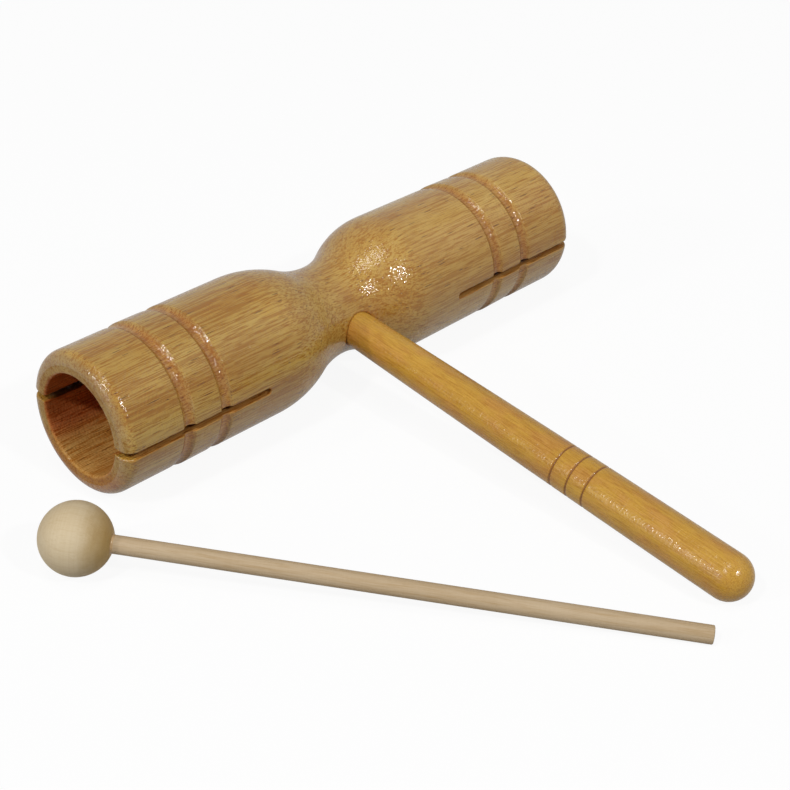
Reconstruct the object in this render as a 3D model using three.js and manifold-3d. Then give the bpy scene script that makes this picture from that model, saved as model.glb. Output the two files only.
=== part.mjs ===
import * as THREE from 'three';
import { mergeVertices } from 'three/addons/utils/BufferGeometryUtils.js';
import Module from 'manifold-3d';

// Tone block: a turned wooden body with a slotted chamber at each end, a handle glued into its
// waist, and a separate wooden beater that lies beside it. Millimetres, +Z up.
// The body's axis runs along X, from the low-tone mouth at -X to the high-tone mouth at +X.
// The handle points towards -Y, and its end rests on the same surface as the body.

const wasm = await Module();
wasm.setup();

// Body
const bodyLength = 212.2;
const bodyRadius = 25;
const waistRadius = 16.4;
const lowShoulderRun = 36.2;
const highShoulderRun = 30.2;
const hollowArcShare = 0.45;
const lowRimRound = 4.2;
const highRimRound = 5.5;

// Coves turned round the body, each measured from its own mouth to its middle
const coveWidth = 4;
const coveDepth = 0.9;
const lowOuterCove = 24.2;
const lowInnerCove = 39.6;
const highInnerCove = 42.1;
const highOuterCove = 27.1;

// Chambers, and the saw cut across each of them
const boreRadius = 17;
const lowBoreDepth = 72;
const highBoreDepth = 65;
const slitWidth = 2.5;
const lowSlitLength = 58.8;
const highSlitLength = 62.6;
const slitFromHandle = THREE.MathUtils.degToRad(4);

// Handle, measured from the body's axis
const handleOffset = 2.1;
const handleReach = 182.8;
const handleRootRadius = 6.4;
const handleEndRadius = 7.9;
const socketFloor = 2.2;
const ringCount = 3;
const firstRing = 109.6;
const ringSpacing = 6.65;
const ringWidth = 1.2;
const ringDepth = 0.4;

// Beater, with the stick's reach measured from the middle of its ball
const ballRadius = 11.6;
const ballHoleDepth = 13;
const stickRadius = 2.9;
const stickReach = 191.1;
const stickEndEase = 0.4;

// Gaps between the beater and the body's low mouth, the body's side and the handle's end
const ballMouthGap = 14.1;
const ballSideGap = 5.9;
const stickHandleGap = 9.5;

// Clearance of a glued joint, and how far cutters run past a surface
const fitClearance = 0.3;
const overrun = 5;

// Facets
const bodySides = 40;
const handleSides = 24;
const ballSides = 28;
const stickSides = 16;
const rimSteps = 4;
const shoulderSteps = 6;
const coveSteps = 4;
const domeSteps = 6;
const slitEndSteps = 6;

const lacqueredBody = new THREE.MeshStandardMaterial({ color: 0xb48f57, roughness: 0.3, metalness: 0 });
const lacqueredHandle = new THREE.MeshStandardMaterial({ color: 0xc2923f, roughness: 0.3, metalness: 0 });
const bareBall = new THREE.MeshStandardMaterial({ color: 0xc9b78c, roughness: 0.6, metalness: 0 });
const bareStick = new THREE.MeshStandardMaterial({ color: 0xc4a680, roughness: 0.65, metalness: 0 });

// A closed geometry as a solid that can be cut.
function solidOf(geometry) {
  const bare = geometry.clone();
  bare.deleteAttribute('normal');
  bare.deleteAttribute('uv');
  const merged = mergeVertices(bare);
  return new wasm.Manifold(new wasm.Mesh({
    numProp: 3,
    vertProperties: new Float32Array(merged.attributes.position.array),
    triVerts: new Uint32Array(merged.index.array),
  }));
}

function geometryOf(solid) {
  const mesh = solid.getMesh();
  const geometry = new THREE.BufferGeometry();
  geometry.setAttribute('position', new THREE.BufferAttribute(mesh.vertProperties, mesh.numProp));
  geometry.setIndex(new THREE.BufferAttribute(mesh.triVerts, 1));
  geometry.computeVertexNormals();
  return geometry;
}

function namedMesh(name, geometry, material) {
  const mesh = new THREE.Mesh(geometry, material);
  mesh.name = name;
  return mesh;
}

// A profile point of a turned piece: its distance from the piece's axis, and its place along it.
function station(radius, along) {
  return new THREE.Vector2(radius, along);
}

// A profile's arc. Its angles run from the piece's axis, so a right angle points away from the axis.
function arc(radius, along, size, fromAngle, toAngle, steps) {
  const points = [];
  for (let i = 0; i <= steps; i++) {
    const angle = THREE.MathUtils.lerp(fromAngle, toAngle, i / steps);
    points.push(station(radius + size * Math.sin(angle), along + size * Math.cos(angle)));
  }
  return points;
}

const inwards = -Math.PI / 2;
const outwards = Math.PI / 2;

// A cove is a shallow round groove in the barrel.
function cove(along) {
  const half = coveWidth / 2;
  const size = (half * half + coveDepth * coveDepth) / (2 * coveDepth);
  const lean = Math.asin(half / size);
  return arc(bodyRadius + size - coveDepth, along, size, inwards - lean, inwards + lean, coveSteps);
}

// One side of the waist: a hollow arc from the waist's middle runs into a round arc at the barrel.
function shoulder(run, side) {
  const rise = bodyRadius - waistRadius;
  const sweep = 2 * Math.atan(rise / run);
  const sizes = run / Math.sin(sweep);
  const hollow = hollowArcShare * sizes;
  const round = sizes - hollow;
  const turn = side * sweep;
  const hollowArc = arc(waistRadius + hollow, 0, hollow, inwards, inwards + turn, shoulderSteps);
  const roundArc = arc(bodyRadius - round, side * run, round, outwards + turn, outwards, shoulderSteps);
  return [...hollowArc, ...roundArc.slice(1)];
}

function bodyProfile() {
  const half = bodyLength / 2;
  const lowStart = lowRimRound - half;
  const highStart = half - highRimRound;
  const lowRim = arc(bodyRadius - lowRimRound, lowStart, lowRimRound, Math.PI, outwards, rimSteps);
  const highRim = arc(bodyRadius - highRimRound, highStart, highRimRound, outwards, 0, rimSteps);
  const lowShoulder = shoulder(lowShoulderRun, -1).reverse();
  const highShoulder = shoulder(highShoulderRun, 1).slice(1);
  return [
    station(0, -half),
    ...lowRim,
    ...cove(lowOuterCove - half),
    ...cove(lowInnerCove - half),
    ...lowShoulder,
    ...highShoulder,
    ...cove(half - highInnerCove),
    ...cove(half - highOuterCove),
    ...highRim,
    station(0, half),
  ];
}

// A chamber bored from a mouth: side is -1 at the low end and 1 at the high end.
function chamberCutter(depth, side) {
  const length = depth + overrun;
  const cutter = new THREE.CylinderGeometry(boreRadius, boreRadius, length, bodySides);
  cutter.rotateZ(-Math.PI / 2);
  cutter.translate(side * (bodyLength / 2 - depth + length / 2), 0, 0);
  return cutter;
}

// A saw cut with a round inner end, which runs from a mouth through both walls of its chamber.
function slitCutter(slitLength, side) {
  const half = slitWidth / 2;
  const endCentre = half - slitLength;
  const outline = new THREE.Shape();
  outline.moveTo(overrun, half);
  outline.lineTo(endCentre, half);
  outline.absarc(endCentre, 0, half, Math.PI / 2, 1.5 * Math.PI, false);
  outline.lineTo(overrun, -half);
  const width = 2 * (bodyRadius + overrun);
  const settings = { depth: width, bevelEnabled: false, curveSegments: slitEndSteps };
  const cutter = new THREE.ExtrudeGeometry(outline, settings);
  cutter.translate(bodyLength / 2, 0, -width / 2);
  cutter.rotateX(Math.PI / 2);
  if (side < 0) cutter.rotateZ(Math.PI);
  cutter.rotateX(-slitFromHandle);
  return cutter;
}

// Turns a piece made along its own Y to run along the handle's line, from the body's axis outwards.
function alongHandle(geometry) {
  geometry.rotateX(Math.PI);
  geometry.translate(handleOffset, 0, 0);
  return geometry;
}

function socketCutter() {
  const radius = handleRootRadius + fitClearance;
  const length = bodyRadius + overrun - socketFloor;
  const cutter = new THREE.CylinderGeometry(radius, radius, length, handleSides);
  cutter.translate(0, socketFloor + length / 2, 0);
  return alongHandle(cutter);
}

// The handle dips from the body's axis, so that its round end touches what the body lies on.
const handleDip = Math.asin((bodyRadius - handleEndRadius) / (handleReach - handleEndRadius));

function toneBody() {
  const blank = new THREE.LatheGeometry(bodyProfile(), bodySides);
  blank.rotateZ(-Math.PI / 2);
  // A corner of the facets, and not a flat, is lowest once the body is rolled by the handle's dip.
  blank.rotateX(-handleDip);
  const body = solidOf(blank)
    .subtract(solidOf(chamberCutter(lowBoreDepth, -1)))
    .subtract(solidOf(chamberCutter(highBoreDepth, 1)))
    .subtract(solidOf(slitCutter(lowSlitLength, -1)))
    .subtract(solidOf(slitCutter(highSlitLength, 1)))
    .subtract(solidOf(socketCutter()));
  return namedMesh('tone_body', geometryOf(body), lacqueredBody);
}

// The handle widens evenly from the waist's surface to its round end.
function handleRadiusAt(distance) {
  const share = (distance - waistRadius) / (handleReach - handleEndRadius - waistRadius);
  return THREE.MathUtils.lerp(handleRootRadius, handleEndRadius, share);
}

function ringGroove(distance) {
  const start = distance - ringWidth / 2;
  const end = distance + ringWidth / 2;
  return [
    station(handleRadiusAt(start), start),
    station(handleRadiusAt(distance) - ringDepth, distance),
    station(handleRadiusAt(end), end),
  ];
}

function handle() {
  const innerEnd = socketFloor + fitClearance;
  const points = [
    station(0, innerEnd),
    station(handleRootRadius, innerEnd),
    station(handleRootRadius, waistRadius),
  ];
  for (let i = 0; i < ringCount; i++) {
    points.push(...ringGroove(firstRing + i * ringSpacing));
  }
  points.push(...arc(0, handleReach - handleEndRadius, handleEndRadius, outwards, 0, domeSteps));
  return namedMesh('handle', alongHandle(new THREE.LatheGeometry(points, handleSides)), lacqueredHandle);
}

// The beater is made along its own Y, from the middle of the ball to the end of the stick.
const ballHoleFloor = Math.sqrt(ballRadius ** 2 - stickRadius ** 2) - ballHoleDepth;

function beaterHead() {
  const radius = stickRadius + fitClearance;
  const length = ballHoleDepth + overrun;
  const hole = new THREE.CylinderGeometry(radius, radius, length, stickSides);
  hole.translate(0, ballHoleFloor + length / 2, 0);
  const ball = new THREE.SphereGeometry(ballRadius, ballSides, ballSides / 2);
  return namedMesh('beater_head', geometryOf(solidOf(ball).subtract(solidOf(hole))), bareBall);
}

function beaterStick() {
  const points = [
    station(0, ballHoleFloor + fitClearance),
    station(stickRadius, ballHoleFloor + fitClearance),
    station(stickRadius, stickReach - stickEndEase),
    station(stickRadius - stickEndEase, stickReach),
    station(0, stickReach),
  ];
  return namedMesh('beater_stick', new THREE.LatheGeometry(points, stickSides), bareStick);
}

const instrument = new THREE.Group();
instrument.add(toneBody(), handle());
instrument.rotation.x = handleDip;
instrument.position.z = bodyRadius;

// The beater lies on its ball and on the end of its stick, which is beside the handle's end.
const beater = new THREE.Group();
beater.add(beaterHead(), beaterStick());
const ballX = -(bodyLength / 2 + ballMouthGap + ballRadius);
const stickEndX = handleOffset - handleEndRadius - stickHandleGap - stickRadius;
const stickDrop = ballRadius - stickRadius;
const stickRunX = stickEndX - ballX;
const stickRunY = Math.sqrt(stickReach ** 2 - stickDrop ** 2 - stickRunX ** 2);
const stickLine = new THREE.Vector3(stickRunX, -stickRunY, -stickDrop).normalize();
beater.quaternion.setFromUnitVectors(new THREE.Vector3(0, 1, 0), stickLine);
beater.position.set(ballX, -(bodyRadius + ballSideGap), ballRadius);

const part = new THREE.Group();
part.add(instrument, beater);

// The origin is on the resting surface, under the middle of the whole set.
part.updateMatrixWorld(true);
const extent = new THREE.Box3().setFromObject(part, true);
const middle = extent.getCenter(new THREE.Vector3());
part.position.set(-middle.x, -middle.y, -extent.min.z);

export default part;
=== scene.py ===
import math

import bmesh
import bpy
import numpy as np
from bpy.props import FloatProperty, FloatVectorProperty, IntProperty, PointerProperty
from bpy.types import Operator, Panel, PropertyGroup
from mathutils import Matrix, Quaternion, Vector


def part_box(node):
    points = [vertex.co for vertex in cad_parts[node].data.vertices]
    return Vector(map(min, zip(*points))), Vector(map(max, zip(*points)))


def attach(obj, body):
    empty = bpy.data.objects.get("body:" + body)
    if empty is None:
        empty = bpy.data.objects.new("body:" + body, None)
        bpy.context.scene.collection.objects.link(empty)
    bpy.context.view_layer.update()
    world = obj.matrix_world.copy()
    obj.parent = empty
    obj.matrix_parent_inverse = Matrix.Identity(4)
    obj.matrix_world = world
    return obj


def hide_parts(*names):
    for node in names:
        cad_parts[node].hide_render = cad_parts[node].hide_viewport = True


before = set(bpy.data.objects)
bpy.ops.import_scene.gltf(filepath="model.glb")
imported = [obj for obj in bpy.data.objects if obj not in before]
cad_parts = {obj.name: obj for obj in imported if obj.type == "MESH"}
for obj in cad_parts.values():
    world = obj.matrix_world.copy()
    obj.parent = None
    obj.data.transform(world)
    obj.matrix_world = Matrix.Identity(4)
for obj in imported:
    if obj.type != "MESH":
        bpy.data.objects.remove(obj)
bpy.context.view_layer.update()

bl_info = {
    "name": "Tone block",
    "version": (1, 0, 0),
    "blender": (4, 5, 0),
    "location": "3D Viewport > Sidebar > Tone block",
    "description": "Builds a turned wooden tone block with its handle and ball beater",
    "category": "Add Mesh",
}

# The body's axis runs along X through the middle of its box in the frame.
body_low, body_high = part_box("tone_body")
BODY_MIDDLE = (body_low + body_high) / 2

QUARTER = math.pi / 2
WELD = 1e-6


def length_property(name, description, metres):
    """A length that a user can change."""
    kind = {"min": 0.0, "precision": 5, "unit": "LENGTH", "subtype": "DISTANCE"}
    return FloatProperty(name=name, description=description, default=metres, **kind)


def angle_property(name, description, degrees):
    """An angle that a user can change."""
    kind = {"default": math.radians(degrees), "unit": "ROTATION", "subtype": "ANGLE"}
    return FloatProperty(name=name, description=description, **kind)


def share_property(name, description, share):
    """A share that a user can change."""
    kind = {"min": 0.0, "max": 1.0, "subtype": "FACTOR"}
    return FloatProperty(name=name, description=description, default=share, **kind)


def colour_property(name, description, colour):
    """A colour that a user can change, in linear light."""
    kind = {"size": 3, "min": 0.0, "max": 1.0, "subtype": "COLOR"}
    return FloatVectorProperty(name=name, description=description, default=colour, **kind)


def power_property(name, description, watts):
    """The power of a lamp."""
    kind = {"min": 0.0, "unit": "POWER"}
    return FloatProperty(name=name, description=description, default=watts, **kind)


class BodySizes(PropertyGroup):
    """Sizes of the turned tone body."""

    length: length_property("Length", "Length from mouth to mouth", 0.2122)
    radius: length_property("Radius", "Radius of both barrels", 0.025)
    waist_radius: length_property("Waist radius", "Radius at the middle of the waist", 0.0164)
    low_shoulder: length_property("Low shoulder", "Run of the waist's slope, low end", 0.0362)
    high_shoulder: length_property("High shoulder", "Run of the waist's slope, high end", 0.0302)
    hollow_share: share_property("Hollow share", "Share of the slope's hollow arc", 0.45)
    low_rim: length_property("Low rim", "Rounding of the low mouth's rim", 0.0042)
    high_rim: length_property("High rim", "Rounding of the high mouth's rim", 0.0055)
    cove_width: length_property("Cove width", "Width of a cove at the surface", 0.0048)
    cove_depth: length_property("Cove depth", "Depth of a cove", 0.0012)
    cove_edge: length_property("Cove edge", "Rounding of a cove's edges", 0.0005)
    low_outer_cove: length_property("Low outer cove", "From the low mouth", 0.0248)
    low_inner_cove: length_property("Low inner cove", "From the low mouth", 0.0400)
    high_inner_cove: length_property("High inner cove", "From the high mouth", 0.0418)
    high_outer_cove: length_property("High outer cove", "From the high mouth", 0.0271)
    bore_radius: length_property("Bore radius", "Radius of both chambers", 0.01735)
    bore_ease: length_property("Bore ease", "Rounding of the bore's edge", 0.00095)
    floor_corner: length_property("Floor corner", "Rounding of a chamber's floor", 0.001)
    low_bore: length_property("Low bore", "Depth of the low chamber", 0.072)
    high_bore: length_property("High bore", "Depth of the high chamber", 0.065)
    slit_width: length_property("Slit width", "Width of a saw cut", 0.0025)
    slit_edge: length_property("Slit edge", "Rounding of a saw cut's edges", 0.00028)
    slit_chip: length_property("Slit chip", "Extra rounding where a slit meets a rim", 0.00045)
    low_slit: length_property("Low slit", "Length of the low slit", 0.0588)
    high_slit: length_property("High slit", "Length of the high slit", 0.0626)
    slit_turn: angle_property("Slit turn", "The slits' plane above the handle's plane", 4.0)
    back_turn: angle_property("Back turn", "How much higher the slits lie at the back", 3.4)
    low_taper: length_property("Low taper", "How much thinner the low mouth is turned", 0.0004)
    high_taper: length_property("High taper", "How much thinner the high barrel is turned", 0.00025)


class HandleSizes(PropertyGroup):
    """Sizes of the handle, measured from the body's axis."""

    offset: length_property("Offset", "From the body's middle, towards the high end", 0.0021)
    reach: length_property("Reach", "From the body's axis to the tip", 0.1828)
    root_radius: length_property("Root radius", "Radius in the socket", 0.0064)
    end_radius: length_property("End radius", "Radius of the round end", 0.0079)
    swell: length_property("Swell", "Fullness between root and end", 0.00027)
    socket_floor: length_property("Socket floor", "From the body's axis", 0.0022)
    socket_edge: length_property("Socket edge", "Rounding of the socket's edge", 0.0009)
    socket_depth: length_property("Socket depth", "Depth of that rounding", 0.0003)
    fit: length_property("Fit", "Gap round the glued root", 0.00005)
    first_ring: length_property("First ring", "Distance of the first ring groove", 0.1096)
    ring_spacing: length_property("Ring spacing", "From ring to ring", 0.00665)
    ring_width: length_property("Ring width", "Width of a ring groove", 0.0012)
    ring_depth: length_property("Ring depth", "Depth of a ring groove", 0.00032)
    ring_count: IntProperty(name="Ring count", description="Ring grooves", default=3, min=1)


class BeaterSizes(PropertyGroup):
    """Sizes of the beater, and the gaps that say where it lies."""

    ball_radius: length_property("Ball radius", "Radius of the ball", 0.01157)
    hole_depth: length_property("Hole depth", "Depth of the ball's hole", 0.013)
    hole_ease: length_property("Hole ease", "Rounding of the hole's edge", 0.0003)
    stick_radius: length_property("Stick radius", "Radius of the stick", 0.0029)
    stick_reach: length_property("Stick reach", "From the ball's middle", 0.191)
    stick_ease: length_property("Stick ease", "Rounding of the stick's end", 0.0004)
    glue_rise: length_property("Glue rise", "Size of the glue bead at the ball", 0.0007)
    mouth_gap: length_property("Mouth gap", "From the low mouth to the ball", 0.0141)
    side_gap: length_property("Side gap", "From the body's side to the ball", 0.0059)
    handle_gap: length_property("Handle gap", "From the stick's end to the handle", 0.0095)


class Finishes(PropertyGroup):
    """Colours of the woods. A grain colour darkens the wood that it is laid over."""

    # The body's colour grows paler from the low end towards the high end.
    body: colour_property("Body", "Pale wood of the body, low end", (0.57, 0.367, 0.084))
    high_body: colour_property("High body", "Pale wood of the high end", (0.65, 0.415, 0.105))
    ochre: colour_property("Ochre", "Deeper patches of the body", (0.56, 0.31, 0.045))
    body_grain: colour_property("Body grain", "Darker grain of the body", (0.65, 0.44, 0.23))
    vessel: colour_property("Vessels", "Open vessels of the body", (0.30, 0.20, 0.11))
    # Painted light and shade in the coves: their colour is gathered lacquer with painted bounced
    # light, which makes it more amber; low on the body it turns deeper amber still, as painted shade
    # where the coves face down.
    cove: colour_property("Coves", "Lacquer gathered in the coves", (0.53, 0.26, 0.055))
    shaded_low_cove: colour_property("Low coves", "The same low on the body", (0.60, 0.275, 0.03))
    cross_cut: colour_property("Cross cut", "Body wood cut across", (0.45, 0.30, 0.11))
    # Painted shade: low on the mouths the cut faces turn darker and redder, where their rounding
    # faces down.
    shaded_low_cut: colour_property("Low cut", "Cut wood low on the mouths", (0.46, 0.205, 0.045))
    chamber: colour_property("Chamber", "Wood low in the chambers", (0.68, 0.38, 0.11))
    # Painted shade: the wood high in the chambers is darker and redder, where shadow falls.
    chamber_shade: colour_property("Ruddy", "Wood high in the chambers", (0.60, 0.195, 0.058))
    sawn: colour_property("Sawn", "Walls of the slits", (0.62, 0.33, 0.095))
    handle: colour_property("Handle", "Pale wood of the handle", (0.67, 0.386, 0.06))
    handle_grain: colour_property("Handle grain", "Darker grain", (0.68, 0.55, 0.40))
    handle_tint: colour_property("Handle tint", "Redder patches of the handle", (0.655, 0.347, 0.072))
    ring: colour_property("Rings", "Bottom of the ring grooves", (0.24, 0.085, 0.02))
    ball: colour_property("Ball", "Pale wood of the ball", (0.69, 0.565, 0.372))
    stick: colour_property("Stick", "Pale wood of the stick", (0.57, 0.437, 0.28))
    raw_grain: colour_property("Raw grain", "Grain of the ball and stick", (0.76, 0.66, 0.50))
    # The ball's half towards the hole turns to this darker, yellower colour.
    hole_side_tone: colour_property("Stain", "Ball wood round the hole", (0.48, 0.32, 0.12))
    glue: colour_property("Glue", "Dried glue at the ball", (0.62, 0.40, 0.19))


class StageSettings(PropertyGroup):
    """The camera and the lamps."""

    aim: FloatVectorProperty(
        name="Aim",
        description="Point that the camera looks at",
        default=(-0.00819, 0.01942, 0.03101),
        size=3,
        subtype="TRANSLATION",
        unit="LENGTH",
    )
    distance: length_property("Distance", "From the aim to the camera", 0.58849)
    azimuth: angle_property("Azimuth", "The camera's turn about the object", -47.207)
    elevation: angle_property("Elevation", "The camera's height above the floor", 33.142)
    roll: angle_property("Roll", "The camera's turn about its own axis", 2.599)
    lens: FloatProperty(
        name="Lens", description="Focal length in millimetres", default=84.05, min=1.0
    )
    side_power: power_property("Side lamp", "Small lamp beside the low end", 20.5)
    glint_power: power_property("Glint lamp", "Small lamp lower beside the low end", 9.0)
    front_power: power_property("Front lamp", "Small lamp in front of the handle", 22.5)
    low_power: power_property("Low lamp", "Soft lamp near the floor beside the low end", 9.0)
    fill_power: power_property("Fill lamp", "Soft lamp beside the high end", 4.0)
    overhead_power: power_property("Overhead lamp", "Soft lamp above", 10.5)
    surround: FloatProperty(
        name="Surround", description="Strength of the even light around", default=0.05, min=0.0
    )


# Node trees


class Wire:
    """A value on its way through a node tree. Arithmetic on it adds Math nodes."""

    def __init__(self, tree, socket):
        self.tree = tree
        self.socket = socket

    def __add__(self, other):
        return maths(self.tree, "ADD", self, other)

    def __sub__(self, other):
        return maths(self.tree, "SUBTRACT", self, other)

    def __mul__(self, other):
        return maths(self.tree, "MULTIPLY", self, other)

    def __truediv__(self, other):
        return maths(self.tree, "DIVIDE", self, other)

    def __rsub__(self, other):
        return maths(self.tree, "SUBTRACT", other, self)

    __radd__ = __add__
    __rmul__ = __mul__


def feed(tree, socket, value):
    """Gives a socket a wire or a plain value."""
    if isinstance(value, Wire):
        tree.links.new(value.socket, socket)
    else:
        socket.default_value = value


def add_node(tree, kind, values=None, **settings):
    """Adds a node with its settings and its named or numbered inputs."""
    node = tree.nodes.new(kind)
    for name, value in settings.items():
        setattr(node, name, value)
    for name, value in (values or {}).items():
        feed(tree, node.inputs[name], value)
    return node


def maths(tree, operation, *values, clamp=False):
    """A Math node as a wire."""
    node = add_node(tree, "ShaderNodeMath", dict(enumerate(values)), operation=operation)
    node.use_clamp = clamp
    return Wire(tree, node.outputs[0])


def combine(tree, x, y, z):
    """Three numbers as a vector."""
    node = add_node(tree, "ShaderNodeCombineXYZ", {"X": x, "Y": y, "Z": z})
    return Wire(tree, node.outputs[0])


def separate(tree, vector):
    """A vector's three numbers."""
    node = add_node(tree, "ShaderNodeSeparateXYZ", {"Vector": vector})
    return [Wire(tree, socket) for socket in node.outputs]


def ramp(tree, value, low, high, to_low=0.0, to_high=1.0):
    """A smooth step from low to high."""
    names = ("Value", "From Min", "From Max", "To Min", "To Max")
    values = dict(zip(names, (value, low, high, to_low, to_high)))
    node = add_node(tree, "ShaderNodeMapRange", values, interpolation_type="SMOOTHSTEP")
    return Wire(tree, node.outputs[0])


def noise(tree, vector, scale, detail, roughness=0.5):
    """Soft noise from 0 to 1."""
    names = ("Vector", "Scale", "Detail", "Roughness")
    values = dict(zip(names, (vector, scale, detail, roughness)))
    return Wire(tree, add_node(tree, "ShaderNodeTexNoise", values).outputs[0])


def stretch(tree, vector, x, y, z):
    """A vector with its three parts scaled."""
    node = add_node(tree, "ShaderNodeVectorMath", {0: vector}, operation="MULTIPLY")
    node.inputs[1].default_value = (x, y, z)
    return Wire(tree, node.outputs[0])


def grain_noise(tree, place, share, scale, detail, roughness=0.5):
    """Noise drawn out along X, where a length counts for its share."""
    return noise(tree, stretch(tree, place, share, 1.0, 1.0), scale, detail, roughness)


def lathe_noise(tree, place, share, scale, detail):
    """Noise drawn out across X, as the marks that run round a turned piece."""
    return noise(tree, stretch(tree, place, 1.0, share, share), scale, detail)


def blend_colour(tree, share, first, second, mode="MIX"):
    """Two colours mixed by a share."""
    node = add_node(tree, "ShaderNodeMix", data_type="RGBA", blend_type=mode)
    for index, value in ((0, share), (6, first), (7, second)):
        value = value if isinstance(value, (Wire, float)) else (*value, 1.0)
        feed(tree, node.inputs[index], value)
    return Wire(tree, node.outputs[2])


def named_group(name, kind, inputs, outputs):
    """An empty node group with its sockets. Returns it, its input wires and its output node."""
    group = bpy.data.node_groups.new(name, kind)
    for label, (socket_type, default) in inputs.items():
        socket = group.interface.new_socket(label, in_out="INPUT", socket_type=socket_type)
        if default is not None:
            socket.default_value = default
    for label, socket_type in outputs.items():
        group.interface.new_socket(label, in_out="OUTPUT", socket_type=socket_type)
    source = group.nodes.new("NodeGroupInput")
    wires = {s.name: Wire(group, s) for s in source.outputs if s.name}
    return group, wires, group.nodes.new("NodeGroupOutput")


FLOAT = "NodeSocketFloat"
VECTOR = "NodeSocketVector"
GEOMETRY = "NodeSocketGeometry"
MATERIAL = "NodeSocketMaterial"
INTEGER = "NodeSocketInt"

# Woods

MILLIMETRES = 1000.0

# Where the pith lies beside a piece, in millimetres.
PITH = (17.0, -26.0)

# Each wood has the scales of its grain per millimetre and its gaps in millimetres, the limits
# between which each mask of the grain sets in and how much it then darkens the wood, the same
# for the growth layers, the depths of its relief in millimetres, and its least roughness with
# what unevenness and dull patches add to it.
BODY_WOOD = {
    "grain": {"Fibre Scale": 3.3, "Streak Scale": 1.15, "Layer Gap": 6.5, "Layer Wander": 9.0},
    "shades": {"Drift": (0.35, 0.65, 0.35), "Streak": (0.5, 0.6, 0.55), "Fibre": (0.52, 0.63, 0.95)},
    "layers": 0.25,
    "skin": {"Vessel Depth": 0.05, "Fibre Depth": 0.01, "Turning": 0.08, "Grit": 0.15},
    "roughness": (0.07, 0.04, 0.14),
}
HANDLE_WOOD = {
    "grain": {"Fibre Scale": 3.8, "Streak Scale": 1.3, "Layer Gap": 9.0, "Layer Wander": 12.0},
    "shades": {"Drift": (0.35, 0.65, 0.3), "Streak": (0.48, 0.66, 0.26), "Fibre": (0.48, 0.62, 0.5)},
    "layers": 0.12,
    "skin": {"Vessel Depth": 0.02, "Fibre Depth": 0.03, "Turning": 0.07, "Grit": 0.07},
    "roughness": (0.11, 0.08, 0.2),
}
RAW_WOOD = {
    "grain": {"Fibre Scale": 3.4, "Streak Scale": 1.3, "Layer Gap": 3.2, "Layer Wander": 5.0},
    "shades": {"Drift": (0.35, 0.65, 0.2), "Streak": (0.45, 0.7, 1.0), "Fibre": (0.45, 0.75, 1.0)},
    "layers": 0.12,
    "skin": {"Vessel Depth": 0.03, "Fibre Depth": 0.05, "Turning": 0.03, "Grit": 0.03},
    "roughness": (0.5, 0.14, 0.0),
}

# Noises that are drawn out along the grain, or round the piece for the lathe's marks: the share
# that a length counts for in that direction, the scale per millimetre and the detail.
DRIFT = (0.3, 0.05, 2.0)
LAYER_WANDER = (0.12, 0.06, 2.0)
OCHRE_PATCHES = (0.3, 0.13, 2.0)
TINT_PATCHES = (0.5, 0.16, 3.0)
DULL_PATCHES = (0.6, 1.9, 1.0)
TURNING_MARKS = (0.05, 0.9, 1.0)
LATHE_RINGS = (0.02, 1.4, 2.0)

# The same shares of the fibres and the streaks, and the roughness of the streaks' noise.
FIBRE_SHARE = 0.04
STREAK_SHARE = 0.03
STREAK_ROUGHNESS = 0.6

# How far the growth layers lean along the grain, and how late and how sharply their late wood
# sets in and ends, as a power and as a share of a layer.
LAYER_LEAN = 0.02
LATE_POWER = 2.5
LATE_END = 0.9

# Scales per millimetre of the grit and the unevenness, and the limits of the dull patches.
GRIT_SCALE = 1.25
UNEVEN_SCALE = 0.16
DULL_LIMITS = (0.48, 0.6)

# The vessels' wobble: its scale per millimetre and its share of a gap. Their widths and
# strengths by chance: the least share and what is added. Their full core as a share of the
# width, and the chance below which a vessel is at its weakest.
WOBBLE_SCALE = 0.35
WOBBLE_SHARE = 0.25
VESSEL_WIDTHS = (0.45, 0.9)
VESSEL_STRENGTHS = (0.3, 0.7)
VESSEL_CORE = 0.6
WEAKEST_VESSELS = 0.25

# Sizes of the vessels in millimetres, and how much they darken the wood.
FINE_VESSELS = {"Gap": 0.85, "Length": 10.0}
BOLD_VESSELS = {"Gap": 1.9, "Length": 12.0, "Width": 0.085, "Start": 31.0}
HANDLE_VESSELS = {"Gap": 0.6, "Length": 6.0, "Width": 0.2}
RAW_VESSELS = {"Gap": 0.45, "Length": 4.0, "Width": 0.16}
FINE_SHADE = 0.85
HANDLE_VESSEL_SHADE = 0.5
RAW_VESSEL_SHADE = 0.1

# Limits of how far a surface is cut across at which it counts as tilted and as cut across.
TILTED = (0.02, 0.3)
CUT_ACROSS = (0.15, 0.7)

# Width of the fine vessels in millimetres, with what a tilt adds and a cut across takes away.
FINE_WIDTH = 0.2
TILT_WIDTH = 0.06
ACROSS_WIDTH = 0.1

# Shares of the fine vessels, the bold ones and the fibres that are gone where wood is tilted,
# and of the fibres that are gone at the high end.
FINE_LOSS = 0.35
BOLD_LOSS = 0.7
FIBRE_LOSS = 0.35
HIGH_END_LOSS = 0.35

# Limits of the ochre patches of the body and their shares there, limits of the redder patches
# of the handle, and limits of the lathe's rings on raw wood with their depth in millimetres.
OCHRE_LIMITS = (0.46, 0.6, 0.0, 0.45)
TINT_LIMITS = (0.42, 0.66)
RING_LIMITS = (0.4, 0.6)
RING_DEPTH = 0.012

# Shares of the coves' gathered lacquer with its painted bounced light, the cut wood, and the painted
# shade on the slits' walls at the back and deep inside.
COVE_SHARE = 0.8
CUT_SHARE = 0.85
BACK_SHADE_SHARE = 0.75
DEEP_SHADE_SHARE = 0.6
SLIT_SHADE = (0.05, 0.02, 0.008)
SAWN_LIMITS = (0.55, 1.0)

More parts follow.
